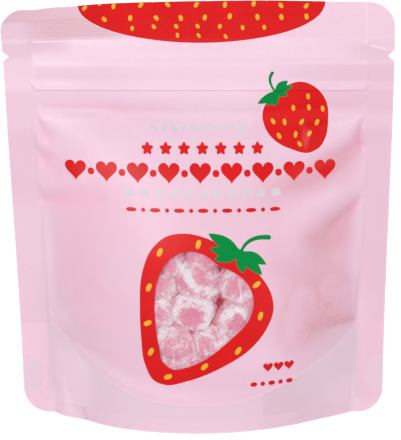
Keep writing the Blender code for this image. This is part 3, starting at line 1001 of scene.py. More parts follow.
def newMaterial(name, roughness, specular):
    material = bpy.data.materials.new(name)
    material.use_nodes = True
    shader = material.node_tree.nodes["Principled BSDF"]
    shader.inputs["Roughness"].default_value = roughness
    shader.inputs["Specular IOR Level"].default_value = specular
    tree = NodeTree(material.node_tree)
    tree.shader = shader
    return tree


def finish(tree, colour, roughness, bump, depth):
    links = tree.tree.links
    links.new(colour.socket, tree.shader.inputs["Base Color"])
    if roughness is not None:
        links.new(roughness.socket, tree.shader.inputs["Roughness"])
    normal = tree.add("ShaderNodeBump", {}, {"Height": bump, "Distance": depth, "Strength": 1.0})
    links.new(normal.socket, tree.shader.inputs["Normal"])


def bareMaterial(name):
    # a material without its usual shader, for one built from plain shaders, and its output's surface
    material = bpy.data.materials.new(name)
    material.use_nodes = True
    nodes = material.node_tree.nodes
    nodes.remove(nodes["Principled BSDF"])
    return material, NodeTree(material.node_tree), nodes["Material Output"].inputs["Surface"]


filmLook = {
    "body": (236, 197, 216),
    # painted sheen: the shoulder and the top band are lighter, as where light falls on them
    "litShoulder": (236, 202, 221),
    "top": (244, 214, 231),
    "sideSeal": (236, 201, 217),
    "lowSideSeal": (243, 206, 221),
    "skirt": (234, 207, 223),
    # painted light on the skirt's ends
    "litSkirtEnd": (248, 219, 234),
    # painted shade on the skirt and hem
    "skirtShade": (226, 198, 208),
    "hem": (240, 208, 224),
    "punch": (233, 206, 220),
    "clingAndShade": (225, 169, 185),
    "blush": (244, 182, 206),
    # painted highlight colour, for glints, bright lines and lit patches
    "highlight": (252, 222, 238),
    "topSeal": (241, 206, 223),
    # painted shade between the top seal's dashes
    "knurl": (204, 158, 166),
    "sealShade": (228, 188, 206),
    "gummyLight": (242, 198, 208),
    "gummyDark": (216, 152, 164),
    # painted shade where the top left corner curls forward
    "curl": (229, 190, 203),
    "roughness": 0.42,
}


def patternPlace(tree):
    place = tree.add("ShaderNodeUVMap", {"uv_map": "pattern"})
    parts = tree.add("ShaderNodeSeparateXYZ", {}, {0: place})
    u = (parts - patternSpace["across"]) * patternSpace["size"]
    v = (Signal(tree, parts.socket.node.outputs[1]) - patternSpace["up"]) * patternSpace["size"]
    return u, v


knurl = {"pitch": 1.1, "rise": 1.45, "height": 0.8}


def knurling(u, v):
    # rows of small slanted dashes raised in the top seal, and the band they fill
    across = u.calc("COSINE", (u + v * 0.25) * (2 * math.pi / knurl["pitch"]))
    up = v.calc("COSINE", v * (2 * math.pi / knurl["rise"]))
    low, high = sealBand["low"] + 1.0, sealBand["high"]
    band = v.step(low, low + 0.4) * v.step(high + 0.4, high)
    return across.step(-0.5, 0.4) * up.step(-0.3, 0.5) * band, band


def filmRelief(tree, u, v, place):
    # fine waviness of the film, and the knurl
    dashes, _ = knurling(u, v)
    return tree.noise(place, 260, 3.0) * 0.35 + dashes * (1 - u.step(0, 40) * 0.5) * knurl["height"]


def filmColour(name):
    return srgb(*filmLook[name])


def filmMaterial(name, isBack=False):
    tree = newMaterial(name, filmLook["roughness"], 0.3)
    u, v = patternPlace(tree)
    place = tree.add("ShaderNodeTexCoord", output="Object")
    grain = tree.noise(place, 900, 2.0)
    # a painted glint along the film's clear cut edge
    r, half = film["cornerRadius"], film["height"] / 2
    out = (abs(u) - (film["width"] / 2 - r)).most(0) ** 2 + (abs(v - half) - (half - r)).most(0) ** 2
    tints = heapLightAndShade(tree, u, v, place) + sealTints(tree, u, v, isBack) + topTints(u, v)
    if not isBack:
        tints += curlTints(u, v)
    tints += [((out**0.5).step(r - 0.6, r - 0.2) * 0.6, "highlight"), (grain.step(0.35, 0.75) * 0.08, "clingAndShade")]
    # painted sheen: the film turns lighter towards the shoulder
    colour = tree.mix(v.step(95, 128), filmColour("body"), filmColour("litShoulder"))
    for amount, tint in tints:
        colour = tree.mix(amount, colour, tint if isinstance(tint, Signal) else filmColour(tint))
    rough = filmLook["roughness"] + (grain - 0.5) * 0.1
    finish(tree, colour, rough, filmRelief(tree, u, v, place), 0.0001)


# Each list of tints holds amounts and colours, later ones over earlier ones. The numbers in their
# steps are places on the pattern, in millimetres

def heapLightAndShade(tree, u, v, place):
    # pink where gummies press on the film, with their soft shapes low down, painted shade in its creases and
    # painted highlights
    clingAndShade = tree.attribute("clingAndShade")
    clouds = tree.noise(place, 70, 2.0, 0.6)
    highlights = (0 - clingAndShade).most(0)
    clingAndShade = clingAndShade.most(0)
    pink = tree.mix(u.step(-20, -46), filmColour("clingAndShade"), filmColour("blush"))
    onRight = u.step(-1.0, 1.0)
    swirl = tree.noise(place, 260, 3.0, 2.4).step(0.50, 0.66)
    veins = abs(tree.noise(place, 170, 3.0, 1.6) - 0.5).step(0.05, 0.01)
    cells = tree.add("ShaderNodeTexVoronoi", {"feature": "SMOOTH_F1"},
                     {"Vector": place, "Scale": 95.0, "Smoothness": 0.3}, output="Distance")
    heap = v.step(76, 60) * clingAndShade
    return [
        # painted sheen: the top band is lighter
        (v.step(146, 152), "top"),
        # painted highlights
        (highlights * 0.9, "highlight"),
        (clingAndShade * (0.80 + onRight * 0.12 + (clouds - 0.5) * 0.9), pink),
        (cells.step(0.42, 0.72) * heap * 0.45 * (0.3 + onRight * 0.7), "gummyDark"),
        (swirl * cells.step(0.6, 0.2) * heap * 0.34, "gummyLight"),
        (veins * heap * v.step(66, 56) * (0.12 + onRight * 0.22), "gummyLight"),
    ]


def sealTints(tree, u, v, isBack):
    # base seal, with painted shade at its wedges, ends and hem, and painted light at its ends and rim
    wide, onRight = abs(u), u.step(-1.0, 1.0)
    top = base["skirtHigh"]
    edge = wide - sealShift(onRight, v.step(top + 0.4, top - 0.4), v.step(45, 70), 1 - v / top)
    inside = edge.step(inner + 0.3, inner - 0.3)
    shapes = zip(base["skirtRises"], base["skirtPowers"])
    left, right = ((wide / inner) ** power * rise for rise, power in shapes)
    line = (left * (1 - onRight) + right * onRight + base["skirtLow"]).least(top)
    below = (line - v).step(-0.25, 0.25) * inside
    wedge = u.step(42, 54) * v.step(top + 1.8, top + 0.2) * 0.5 + u.step(-36, -46) * v.step(43, 41) * 0.25
    rim = (line - v).step(-1.6, -0.2) * (line - v).step(0.7, 0.2) * edge.step(inner, inner - 1)
    ends = u.step(-50, -62) * v.step(16, 6) * 0.3 + u.step(50, 60) * u.step(67, 64) * v.step(22, 12) * 0.4
    tints = [
        (wedge * inside, "skirtShade"),
        (below, "skirt"),
        (below * wide.step(66.5, 68) * (0.2 + onRight * 0.4), "skirtShade"),
        # painted highlight along the base seal's ridge
        (rim * 0.35, "highlight"),
        (below * ends, "litSkirtEnd"),
    ]
    # painted shade along the hem
    hemShade = u.step(24, 30) * u.step(64, 54) * 0.3
    if not isBack:
        slanted = u + 51.5 + v * 0.35
        hemShade = hemShade + slanted.step(-1.4, -1.0) * slanted.step(1.4, 1.0)
        # painted shade on the skirt's right, painted light on its left
        tints += [
            (below * u.step(25.5, 26.5) * u.step(52, 34) * 0.7, "skirtShade"),
            (below * u.step(-44, -54) * u.step(-68, -62) * v.step(38, 24) * 0.5, "highlight"),
        ]
    hem = base["hem"]
    tints += [
        (v.step(hem + 0.6, hem - 0.6), tree.mix(hemShade, filmColour("hem"), filmColour("skirtShade"))),
        # painted light at the hem's left end
        (v.step(hem + 2, hem - 2) * u.step(-46, -58) * 0.5, "litSkirtEnd"),
    ]
    # side seals, with a half-round mark at the edge near the foot
    beside = tree.mix(v.step(top + 0.3, top - 0.3), filmColour("sideSeal"), filmColour("lowSideSeal"))
    shade = onRight * (v.step(48, 60) * 0.5 + v.step(115, 121) * 0.25) * v.step(152, 146)
    shade = shade + (1 - onRight) * v.step(86, 98) * (0.5 - v.step(117, 126) * 0.4) * v.step(160, 150)
    shade = shade + u.step(70, 80) * v.step(64, 50) * v.step(38, 41) * 0.35
    shade = shade + u.step(62, 68) * v.step(42, 37) * v.step(2, 8) * 0.4
    beside = tree.mix(shade, beside, filmColour("sealShade"))
    away = ((wide - film["width"] / 2 + (1 - onRight)) ** 2 + (v - 16.8) ** 2) ** 0.5
    return tints + [((1 - inside) * v.step(160, 158), beside), (away.step(8.7, 8.1) * 0.8, "punch")]


def topTints(u, v):
    # zip and top seal: the zip band toned towards the top seal's colour, painted shade on its right and
    # under the berry, painted highlights on its middle and on the left side seal
    wide = abs(u)
    rib = v.step(137.8, 138.6) * v.step(142.4, 141.8)
    zipped = v.step(127, 131) * v.step(149.5, 148.5)
    return [
        (u.step(-30, 60) * v.step(118, 128) * 0.6, "topSeal"),
        (u.step(22, 62) * zipped * (1 - rib * 0.8) * 0.6, "sealShade"),
        (wide.step(45, 15) * zipped * v.step(133, 137) * 0.25, "highlight"),
        ((wide.step(34, 10) + u.step(36, 60)) * v.step(152, 157) * 0.2, "sealShade"),
        (u.step(-48, -58) * u.step(-69.5, -67.5) * v.step(152, 156) * 0.5, "sealShade"),
        (u.step(-66, -68) * v.step(136, 140) * v.step(153, 150) * 0.4, "highlight"),
        (v.step(159.2, 160.2) * 0.9, "topSeal"),
    ]


def curlTints(u, v):
    # painted shade in a pinch beside the right notch, a painted glint and bright fold line at the seal's
    # fold, and painted shade where the film curls at the left, between the knurl's dashes, with highlights on
    # them
    ridge = 157.2 - (u - 69) * 0.28 - v
    pinch = u.step(58, 68) * u.step(79, 76) * v.step(149.5, 152) * ridge.step(0.0, 0.8)
    glint = u.step(69, 71) * u.step(77.5, 75) * abs(ridge).step(0.7, 0.2)
    fold = abs(u - 68.3).step(0.6, 0.2) * v.step(157, 159)
    curlEdge = 159.5 - (-50 - u).most(0) * 0.28
    curled = u.step(-24, -40) * (u.step(-77, -58) + v.step(168, 170)).least(1.0)
    depth = 0.8 + v.step(159, 160.4) * 0.15
    dashes, band = knurling(u, v)
    thread = abs(v - 159.1).step(0.5, 0.15) * u.step(-69, -66) * u.step(-28, -44)
    return [
        (pinch * 0.5, "sealShade"),
        (glint * 0.7 + fold * 0.4, "highlight"),
        # painted shade on the curled corner
        (curled * (v - curlEdge).step(-1.5, 2.5) * depth, "curl"),
        # painted shade between the dashes, painted highlights on them
        ((1 - dashes) * band * (0.02 + curled * 0.22), "knurl"),
        (dashes * curled * 0.25, "highlight"),
        # a painted bright line under the seal
        (thread * 0.8, "highlight"),
    ]


def inkMaterial(name, colour, shade, roughness, specular=0.22):
    tree = newMaterial(name, roughness, specular)
    u, v = patternPlace(tree)
    place = tree.add("ShaderNodeTexCoord", output="Object")
    patch = tree.noise(place, 60, 2.0).step(0.35, 0.7)
    fine = tree.noise(place, 1100, 2.0)
    mixed = tree.mix(patch * 0.5, srgb(*colour), srgb(*shade))
    mixed = tree.mix(fine.step(0.4, 0.8) * 0.12, mixed, srgb(*shade))
    finish(tree, mixed, roughness + (fine - 0.5) * 0.1, filmRelief(tree, u, v, place), 0.0001)


def plainMaterial(name, colour, shade, roughness, scale=400):
    tree = newMaterial(name, roughness, 0.4)
    place = tree.add("ShaderNodeTexCoord", output="Object")
    patch = tree.noise(place, scale, 3.0).step(0.35, 0.7)
    finish(tree, tree.mix(patch, srgb(*colour), srgb(*shade)), None, tree.noise(place, 300, 3.0), 0.00004)


def makeMaterials():
    filmMaterial("filmFront")
    filmMaterial("filmBack", True)
    plainMaterial("underside", (226, 184, 200), (218, 172, 190), 0.5, 60)
    plainMaterial("pocketWall", (250, 214, 226), (244, 204, 218), 0.6)
    inkMaterial("redInk", (222, 12, 16), (206, 8, 14), 0.4)
    inkMaterial("yellowInk", (236, 182, 44), (226, 168, 36), 0.42)
    inkMaterial("greenInk", (0, 140, 64), (0, 130, 60), 0.42, 0.08)
    inkMaterial("paleInk", (222, 208, 216), (214, 200, 210), 0.45)
    inkMaterial("whiteInk", (250, 212, 228), (248, 206, 222), 0.42)


makeMaterials()
print("materials made")

pouchFilm = makeFilm()
print("film made:", len(pouchFilm.data.polygons), "faces")
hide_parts("pouch")
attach(pouchFilm, "root")


# Window pane

pane = {
    "thickness": 0.08,
    "sunk": 0.02,
    "roughness": 0.08,
    "foldAndGlint": 0.62,
    "facing": 0.034,  # share of mirrored light seen straight on, and how much grazing views add
    "grazing": 0.5,
    "tint": (0.957, 0.957, 0.966, 1),
    "glintWhite": (0.95, 0.88, 0.92, 1),
    "grain": 0.55,  # spacing of the mesh
    "ripple": 0.05,
    "foldHeight": 0.08,
}

# Fine folds in the clear film, with painted whitish glints along them: points, half width and strength
paneFolds = (
    ((15.6, 66.0, 16.4, 61.0, 16.8, 56.5, 18.6, 53.5), 0.35, 0.8),
    ((-8.5, 46.5, -5.4, 42.0, -3.8, 37.5, -3.2, 31.5), 0.4, 0.8),
    ((-1.4, 43.4, 2.2, 41.9, 5.2, 40.8), 0.7, 1.1), ((-2.4, 39.5, -1.8, 36.0, -0.8, 33.5), 0.35, 0.8),
    ((-18.0, 41.8, -14.5, 41.5, -12.0, 42.0), 0.35, 0.9),
    ((-12.6, 34.5, -12.3, 31.5, -12.8, 28.5), 0.35, 0.8),
    ((-15.5, 38.0, -12.5, 36.0, -8.5, 35.2), 0.3, 0.6), ((-10.6, 52.5, -9.4, 47.5, -5.5, 42.5), 0.35, 0.7),
    ((-7.0, 68.5, -6.2, 64.5, -2.5, 60.5, -1.0, 57.5), 0.35, 0.6),
    ((1.0, 66.2, 4.5, 65.6, 8.0, 67.2), 0.4, 0.7), ((9.5, 46.5, 12.5, 48.5, 13.5, 52.0), 0.35, 0.6),
    ((7.0, 42.0, 10.0, 43.8, 12.6, 43.6), 0.9, 0.8),
)


def makePane():
    outline = windowOutline(-0.02)
    low, high = outline.min(0), outline.max(0)
    across, up = (np.arange(low[i], high[i], pane["grain"]) for i in (0, 1))
    lattice = np.array([(u, v) for u in across for v in up])
    lattice = lattice[insideOf(windowOutline(-0.6), lattice)]
    points = [Vector(p) for p in outline] + [Vector(p) for p in lattice]
    edges = [(i, (i + 1) % len(outline)) for i in range(len(outline))]
    corners, _, triangles, _, _, _ = delaunay_2d_cdt(points, edges, [], 1, 1e-5)
    corners = np.array([tuple(p) for p in corners])
    count = len(corners)
    u, v = corners.T
    ripple = pane["ripple"] * np.sin(u * 0.55 + v * 0.3) * np.sin(v * 0.4 + 1)
    edgeDistance = np.min(np.linalg.norm(corners[:, None] - outline[None], axis=2), axis=1)
    ripple = ripple * ease(0, 5, edgeDistance)
    foldAndGlint = np.zeros(count)
    for line, width, strength in paneFolds:
        gap, share = nearest(u, v, line)
        fold = strength * np.exp(-((gap / width) ** 2)) * (1 - 0.5 * abs(share * 2 - 1))
        foldAndGlint = np.maximum(foldAndGlint, fold)
    inset = pane["sunk"] + ripple - pane["foldHeight"] * foldAndGlint
    front = filmPoint(u, v, -1, inset)
    back = filmPoint(u, v, -1, inset + pane["thickness"])
    faces = [list(t) for t in triangles] + [[count + i for i in reversed(t)] for t in triangles]
    faces += [[b, a, count + a, count + b] for a, b in edgesOf(triangles)]
    obj = newMesh("windowPane", np.concatenate([front, back]), faces, [0] * len(faces), ["clearFilm"],
                  np.concatenate([corners, corners]))
    store(obj.data, "foldAndGlint", np.tile(foldAndGlint, 2))
    return obj


def clearMaterial():
    _, tree, surface = bareMaterial("clearFilm")
    place = tree.add("ShaderNodeTexCoord", output="Object")
    wave = tree.add("ShaderNodeBump", {}, {"Height": tree.noise(place, 110, 2.0), "Distance": 0.00012})
    clear = tree.add("ShaderNodeBsdfTransparent", {}, {"Color": pane["tint"]})
    gloss = tree.add("ShaderNodeBsdfGlossy", {}, {"Color": (1, 1, 1, 1), "Roughness": pane["roughness"],
                                                  "Normal": wave})
    facing = tree.add("ShaderNodeLayerWeight", {}, {"Blend": 0.5, "Normal": wave}, "Facing")
    mirrored = facing**5 * pane["grazing"] + pane["facing"]
    both = tree.add("ShaderNodeMixShader", {}, {0: mirrored, 1: clear, 2: gloss})
    # painted glints: along the folds the film turns a diffuse white
    foldAndGlint = tree.attribute("foldAndGlint")
    glintWhite = tree.add("ShaderNodeBsdfDiffuse", {}, {"Color": pane["glintWhite"]})
    patchy = tree.noise(place, 500, 2.0).step(0.3, 0.6)
    folded = tree.add("ShaderNodeMixShader", {}, {0: foldAndGlint * patchy * pane["foldAndGlint"], 1: both, 2: glintWhite})
    tree.tree.links.new(folded.socket, surface)


clearMaterial()
windowPane = makePane()
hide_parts("window")
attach(windowPane, "root")
print("window made")


# Gummies: each is one geometry-node shape with its own seed

gummy = {
    "lump": 0.24, "lumpScale": 1.1, "fold": 0.07, "foldScale": 1.7, "fine": 0.012, "fineScale": 8.0,
    "foldSharpness": 9, "ragged": 0.3, "raggedScale": 3.2, "dimple": 0.28, "flatness": 0.74,
    "clearance": 0.26, "glow": 0.075,
}

# How gummies flatten against the film: where that starts and how it eases off, in millimetres
press = {"from": 2.0, "share": 0.72, "ease": 4.0, "flat": 0.4}

# How much each form and each noise changes the powder
powderMix = {"base": 0.55, "lump": 1.6, "crease": 0.5, "dimple": 1.05, "rim": 0.5,
             "streak": 3.0, "hair": 2.4, "patch": 1.4,
             "streakScale": 300, "hairScale": 700, "patchScale": 60}

# u, v, half width, how deep the nearest point lies, dimple, turn, more powder
gummyPlaces = (
    (-4.0, 50.9, 9.8, 0.5, 1.0, 10, 0), (-2.0, 62.5, 10.8, 0.7, 0.3, 35, 0),
    (1.0, 73.5, 9.4, 2.4, 0.2, -20, -0.35), (15.2, 61.0, 9.4, 1.6, 0.3, 60, 0.35),
    (13.6, 47.6, 9.2, 1.0, 0.7, -35, 0), (-13.6, 70.6, 7.6, 2.0, 0.2, 80, -0.1),
    (-17.6, 60.6, 8.4, 1.2, 0.3, 15, 0.15), (-17.6, 50.0, 8.4, 0.4, 0.3, -60, 0),
    (-12.4, 37.0, 10.8, 0.5, 0.2, 25, 0), (3.8, 37.2, 9.8, 1.0, 0.3, -10, 0),
    (23.0, 53.5, 7.5, 1.6, 0.2, 5, -0.3), (-14.5, 27.0, 8.0, 1.8, 0.2, 45, 0.2),
    (-9.0, 57.0, 9.0, 8.5, 0.2, 30, -0.1), (18.5, 69.0, 8.0, 3.5, 0.2, 12, 0),
    (-3.0, 27.5, 8.8, 1.6, 0.2, 50, 0),
)

# Thick powder, and bare places where the strength is negative: points u, v, half width and strength
powderStrokes = (
    ((-8.9, 70.6, -6.1, 66.1, -2.0, 61.5, 4.1, 59.2), 1.7, 0.9), ((-9.5, 64.5, -4.8, 59.2), 1.4, -0.7),
    ((-10.9, 57.7, -2.7, 56.6, 2.8, 54.0, 4.3, 47.5, 1.3, 42.5), 1.1, 0.6),
    ((11.6, 50.1, 15.6, 52.0, 19.1, 48.2), 1.1, 1.0), ((6.1, 37.9, 10.9, 38.4), 1.5, 0.9),
    ((-17.0, 55.4, -15.6, 50.1), 1.2, 0.6), ((14.5, 44.5, 18.5, 45.0), 2.2, -0.3),
    ((4.5, 73.0, 8.5, 69.5), 1.6, -0.2), ((-11.0, 37.5, -9.0, 30.0), 1.8, 0.25),
)


def gummyTree():
    group = bpy.data.node_groups.new("mochiGummy", "GeometryNodeTree")
    face = group.interface
    face.new_socket("Geometry", in_out="OUTPUT", socket_type="NodeSocketGeometry")
    names = {"Lump": gummy["lump"], "Lump Scale": gummy["lumpScale"], "Fold": gummy["fold"],
             "Fold Scale": gummy["foldScale"], "Fine": gummy["fine"], "Fine Scale": gummy["fineScale"],
             "Dimple": gummy["dimple"], "Powder": 0.0, "Seed": 0.0}
    for name, value in names.items():
        face.new_socket(name, in_out="INPUT", socket_type="NodeSocketFloat").default_value = value
    tree = NodeTree(group)
    start = group.nodes.new("NodeGroupInput")
    end = group.nodes.new("NodeGroupOutput")
    get = {name: Signal(tree, start.outputs[name]) for name in names}
    ball = tree.add("GeometryNodeMeshIcoSphere", {}, {"Radius": 1.0, "Subdivisions": 6})
    place = tree.add("GeometryNodeInputPosition")
    shift = tree.add("ShaderNodeVectorMath", {"operation": "ADD"}, {0: place, 1: tree.add(
        "ShaderNodeCombineXYZ", {}, {"X": get["Seed"], "Y": get["Seed"] * 1.7, "Z": get["Seed"] * 0.6})})
    lump = tree.noise(shift, get["Lump Scale"], 1.0, 0.3) - 0.5
    ridge = tree.noise(shift, get["Fold Scale"], 2.0, 1.6)
    crease = (1 - abs(ridge - 0.5) * gummy["foldSharpness"]).most(0)
    fine = tree.noise(shift, get["Fine Scale"], 3.0, 0.8) - 0.5
    parts = tree.add("ShaderNodeSeparateXYZ", {}, {0: place})
    x, y, z = (Signal(tree, parts.socket.node.outputs[i]) for i in range(3))
    facing = y.step(0.1, -0.5)
    ragged = tree.noise(shift, gummy["raggedScale"], 3.0, 0.6) - 0.5
    radius = (x * x + z * z) ** 0.5 + ragged * gummy["ragged"]
    dimple = (radius.step(0.62, 0.12) - radius.step(0.95, 0.72) * radius.step(0.45, 0.68) * 0.25) * facing
    amount = lump * get["Lump"] * 2 - crease * get["Fold"] + fine * get["Fine"] * 2 - dimple * get["Dimple"]
    offset = tree.add("ShaderNodeVectorMath", {"operation": "SCALE"}, {0: place, "Scale": amount})
    moved = tree.add("GeometryNodeSetPosition", {}, {"Geometry": ball, "Offset": offset})
    # how much powder lies where: on rims and ridges, less in the dimple and in the creases
    rim = radius.step(0.42, 0.6) * radius.step(1.0, 0.8) * facing
    deep = (get["Dimple"] / 0.3).least(1.0)
    mix = powderMix
    powder = mix["base"] + lump * mix["lump"] - crease * mix["crease"] + get["Powder"]
    powder = powder + (rim * mix["rim"] - dimple * mix["dimple"]) * deep
    stored = tree.add("GeometryNodeStoreNamedAttribute", {"data_type": "FLOAT", "domain": "POINT"},
                      {"Geometry": moved, "Name": "powder", "Value": powder})
    smooth = tree.add("GeometryNodeSetShadeSmooth", {}, {"Geometry": stored})
    real = tree.add("GeometryNodeRealizeInstances", {}, {"Geometry": smooth})
    skin = bpy.data.materials["gummySkin"]
    done = tree.add("GeometryNodeSetMaterial", {}, {"Geometry": real, "Material": skin})
    group.links.new(done.socket, end.inputs["Geometry"])
    return group


gummyLook = {
    "bare": (237, 157, 181),
    "powder": (248, 242, 243),
    "deep": (224, 126, 156),
    # painted shade in the gaps between gummies, near and far
    "gap": (214, 66, 100),
    "farGapShade": (176, 40, 66),
    "core": (196, 48, 82),
    "coreShade": (170, 36, 64),
    # painted glow, as linear colours, standing in for light that comes through the candies
    "glow": (1.0, 0.30, 0.42),
    "powderGlow": (1.0, 0.55, 0.65),
    "coreGlow": (0.42, 0.03, 0.06, 1),
}


def gummyMaterial():
    look = {name: srgb(*gummyLook[name]) for name in ("bare", "powder", "deep", "gap", "farGapShade")}
    tree = newMaterial("gummySkin", 0.75, 0.3)
    tree.shader.inputs["Subsurface Weight"].default_value = 0.3
    tree.shader.inputs["Subsurface Radius"].default_value = (1.0, 0.45, 0.5)
    tree.shader.inputs["Subsurface Scale"].default_value = 0.002
    place = tree.add("ShaderNodeTexCoord", output="Object")
    powder = tree.attribute("powder")
    own = tree.attribute("own", "Vector")  # turns with each gummy
    drawn = tree.add("ShaderNodeMapping", {}, {"Vector": own, "Scale": (1.0, 1.0, 0.25)})
    mix = powderMix
    streak = tree.noise(drawn, mix["streakScale"], 5.0, 1.6, 0.65)
    hair = tree.noise(drawn, mix["hairScale"], 4.0, 2.0, 0.6)
    patch = tree.noise(place, mix["patchScale"], 2.0, 1.0)
    cover = powder + (streak - 0.5) * mix["streak"] + (hair - 0.5) * mix["hair"]
    cover = cover + (patch - 0.5) * mix["patch"]
    white = cover.step(-0.1, 1.2)
    deep = cover.step(-0.1, -0.9)
    colour = tree.mix(white, look["bare"], look["powder"])
    colour = tree.mix(deep * 0.4, colour, look["deep"])
    # painted shade: away from the film the gaps between gummies turn a darker red
    behind = tree.attribute("behind")
    colour = tree.mix(behind.step(1.4, 6.0) * 0.9, colour, look["gap"])
    colour = tree.mix(behind.step(5.0, 8.0) * 0.8, colour, look["farGapShade"])
    bump = white * 0.8 + streak * 0.8 + hair * 0.4
    # painted glow: an emission lifts the candies' shaded sides
    glow = tree.mix(white * 0.3, gummyLook["glow"], gummyLook["powderGlow"])
    tree.shader.inputs["Emission Strength"].default_value = gummy["glow"]
    tree.tree.links.new(glow.socket, tree.shader.inputs["Emission Color"])
    finish(tree, colour, 0.55 + white * 0.35, bump, 0.00012)


def makeGummies():
    gummyMaterial()
    group = gummyTree()
    inputs = {item.name: item.identifier for item in group.interface.items_tree if item.in_out == "INPUT"}
    pieces = []
    for index, (u, v, half, depth, dimple, turn, more) in enumerate(gummyPlaces):
        name = f"gummy{index + 1:02d}"
        obj = bpy.data.objects.new(name, bpy.data.meshes.new(name))
        scene.collection.objects.link(obj)
        modifier = obj.modifiers.new("mochiGummy", "NODES")
        modifier.node_group = group
        modifier[inputs["Seed"]] = 3.7 * index + 1.3
        modifier[inputs["Dimple"]] = gummy["dimple"] * dimple
        modifier[inputs["Powder"]] = float(more)
        graph = bpy.context.evaluated_depsgraph_get()
        mesh = bpy.data.meshes.new_from_object(obj.evaluated_get(graph))
        obj.modifiers.clear()
        obj.data = mesh
        points = np.empty(len(mesh.vertices) * 3, np.float32)
        mesh.vertices.foreach_get("co", points)
        points = points.reshape(-1, 3).astype(float)
        draw = random.Random(70 + index)
        nod = Matrix.Rotation(draw.uniform(-0.35, 0.35), 3, "X")
        spin = Matrix.Rotation(math.radians(turn), 3, "Y") @ nod
        store(mesh, "own", points * half / 1000 + index * 0.1, "FLOAT_VECTOR")
        points = points * (1, gummy["flatness"], 0.9)
        points = points @ np.array(spin).T * half / 1000
        front = filmPoint(u, v, -1, 0.0)
        points[:, 0] += front[0]
        points[:, 2] += front[2]
        points[:, 1] += front[1] + (gummy["clearance"] + depth) / 1000 - points[:, 1].min()
        points, behind = pressBehindFilm(points)
        store(mesh, "behind", behind)
        powder = np.empty(len(points), np.float32)
        mesh.attributes["powder"].data.foreach_get("value", powder)
        mesh.attributes["powder"].data.foreach_set("value", powder + strokesAt(points))
        mesh.vertices.foreach_set("co", points.astype(np.float32).ravel())
        mesh.update()
        pieces.append(obj)
    return pieces


def patternOf(points):
    # which place on the pattern each point lies straight behind
    v = points[:, 2] * 1000
    return (points[:, 0] * 1000 - film["lean"] * (1 - v / film["height"])) / narrowing(v), v


def strokesAt(points):
    u, v = patternOf(points)
    more = np.zeros(len(points))
    for line, width, strength in powderStrokes:
        gap, _ = nearest(u, v, line)
        more += strength * np.exp(-((gap / width) ** 2))
    return more.astype(np.float32)


def pressBehindFilm(points):
    # where a gummy would reach the film it flattens against it. Also how far behind it each point stays
    limit = filmPoint(*patternOf(points), -1, gummy["clearance"])[:, 1] * 1000
    room = points[:, 1] * 1000 - limit
    reach = np.maximum(room + press["from"], 0.0)
    soft = np.maximum(press["share"] * reach**2 / (reach + press["ease"]) - press["flat"], 0)
    points[:, 1] = np.minimum((limit + soft) / 1000, pocket["reach"])
    return points, soft


def makeCore():
    # the heap behind, seen only through the gaps
    outline = windowOutline(2.0)[::3]
    flat = filmPoint(outline[:, 0], outline[:, 1], -1, 0)
    rings = []
    for grow, forward in ((0.0, -0.0004), (0.0, 0.003), (-0.3, 0.0055)):
        ring = flat.copy()
        ring[:, 1] = y = pocket["back"] - forward
        centre = ring.mean(0)
        ring = centre + (ring - centre) * (1 + grow)
        ring[:, 1] = y
        rings.append(ring)
    points = np.concatenate(rings)
    count = len(outline)
    faces = [list(range(count))[::-1], [2 * count + i for i in range(count)]]
    for k in range(2):
        for i in range(count):
            j = (i + 1) % count
            faces.append([k * count + i, k * count + j, (k + 1) * count + j, (k + 1) * count + i])
    return newMesh("gummyCore", points, faces, [0] * len(faces), ["coreSkin"])


plainMaterial("coreSkin", gummyLook["core"], gummyLook["coreShade"], 0.7, 300)
# painted glow: the core gives off a dim red light, so the gaps read red
core = bpy.data.materials["coreSkin"].node_tree.nodes["Principled BSDF"]
core.inputs["Emission Color"].default_value = gummyLook["coreGlow"]
core.inputs["Emission Strength"].default_value = 0.6
gummies = makeGummies() + [makeCore()]
for piece in gummies:
    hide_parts("gummies")
    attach(piece, "root")
print("gummies made:", len(gummies))


# Floor, light and surroundings

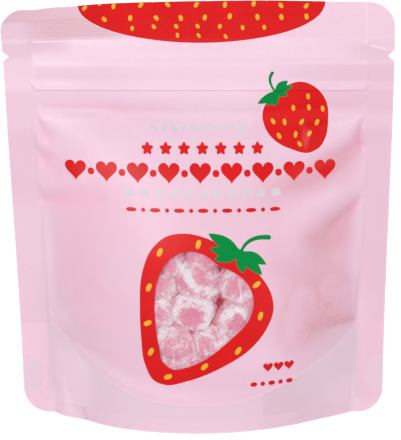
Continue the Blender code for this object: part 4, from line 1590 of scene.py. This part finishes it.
light = {
    "key": ((-0.50, -1.20, 0.62), 0.4, 8.2),
    "fill": ((1.15, -1.00, 0.08), 0.7, 7.0),
    "back": ((0.55, 1.30, 0.55), 0.9, 6.0),
    "world": 0.50,
    "floorBounce": 0.78,
    "floorWhite": 0.60,
}


def makeStage():
    mesh = bpy.data.meshes.new("floor")
    half, low = 6.0, -0.0003
    corners = [(x * half, y * half, low) for x, y in ((-1, -1), (1, -1), (1, 1), (-1, 1))]
    mesh.from_pydata(corners, [], [(0, 1, 2, 3)])
    floor = bpy.data.objects.new("floor", mesh)
    scene.collection.objects.link(floor)
    # seen directly the paper is white; towards the pouch it gives back less
    material, tree, surface = bareMaterial("floorPaper")
    place = tree.add("ShaderNodeTexCoord", output="Object")
    paper = tree.mix(tree.noise(place, 8, 2.0) * 0.2, (0.96, 0.96, 0.96), (0.94, 0.94, 0.94))
    white = tree.add("ShaderNodeBsdfDiffuse", {}, {"Color": paper})
    glow = tree.add("ShaderNodeEmission", {}, {"Strength": light["floorWhite"]})
    bright = tree.add("ShaderNodeAddShader", {}, {0: white, 1: glow})
    bounce = (light["floorBounce"],) * 3 + (1,)
    dull = tree.add("ShaderNodeBsdfDiffuse", {}, {"Color": bounce})
    seen = tree.add("ShaderNodeLightPath", output="Is Camera Ray")
    both = tree.add("ShaderNodeMixShader", {}, {0: seen, 1: dull, 2: bright})
    tree.tree.links.new(both.socket, surface)
    mesh.materials.append(material)

    world = bpy.data.worlds.new("studio")
    world.use_nodes = True
    scene.world = world
    background = world.node_tree.nodes["Background"]
    background.inputs["Color"].default_value = (1.0, 1.0, 1.0, 1)
    sky = NodeTree(world.node_tree)
    seen = sky.add("ShaderNodeLightPath", output="Is Camera Ray")
    strength = light["world"] + seen * (1.05 - light["world"])  # seen directly, the backdrop is white
    world.node_tree.links.new(strength.socket, background.inputs["Strength"])

    for name in ("key", "fill", "back"):
        place, size, power = light[name]
        data = bpy.data.lights.new(name, "AREA")
        data.shape = "SQUARE"
        data.size = size
        data.energy = power
        obj = bpy.data.objects.new(name, data)
        scene.collection.objects.link(obj)
        obj.location = place
        way = Vector((0, 0, 0.09)) - Vector(place)
        obj.rotation_euler = way.to_track_quat("-Z", "Y").to_euler()


makeStage()
print("stage made")
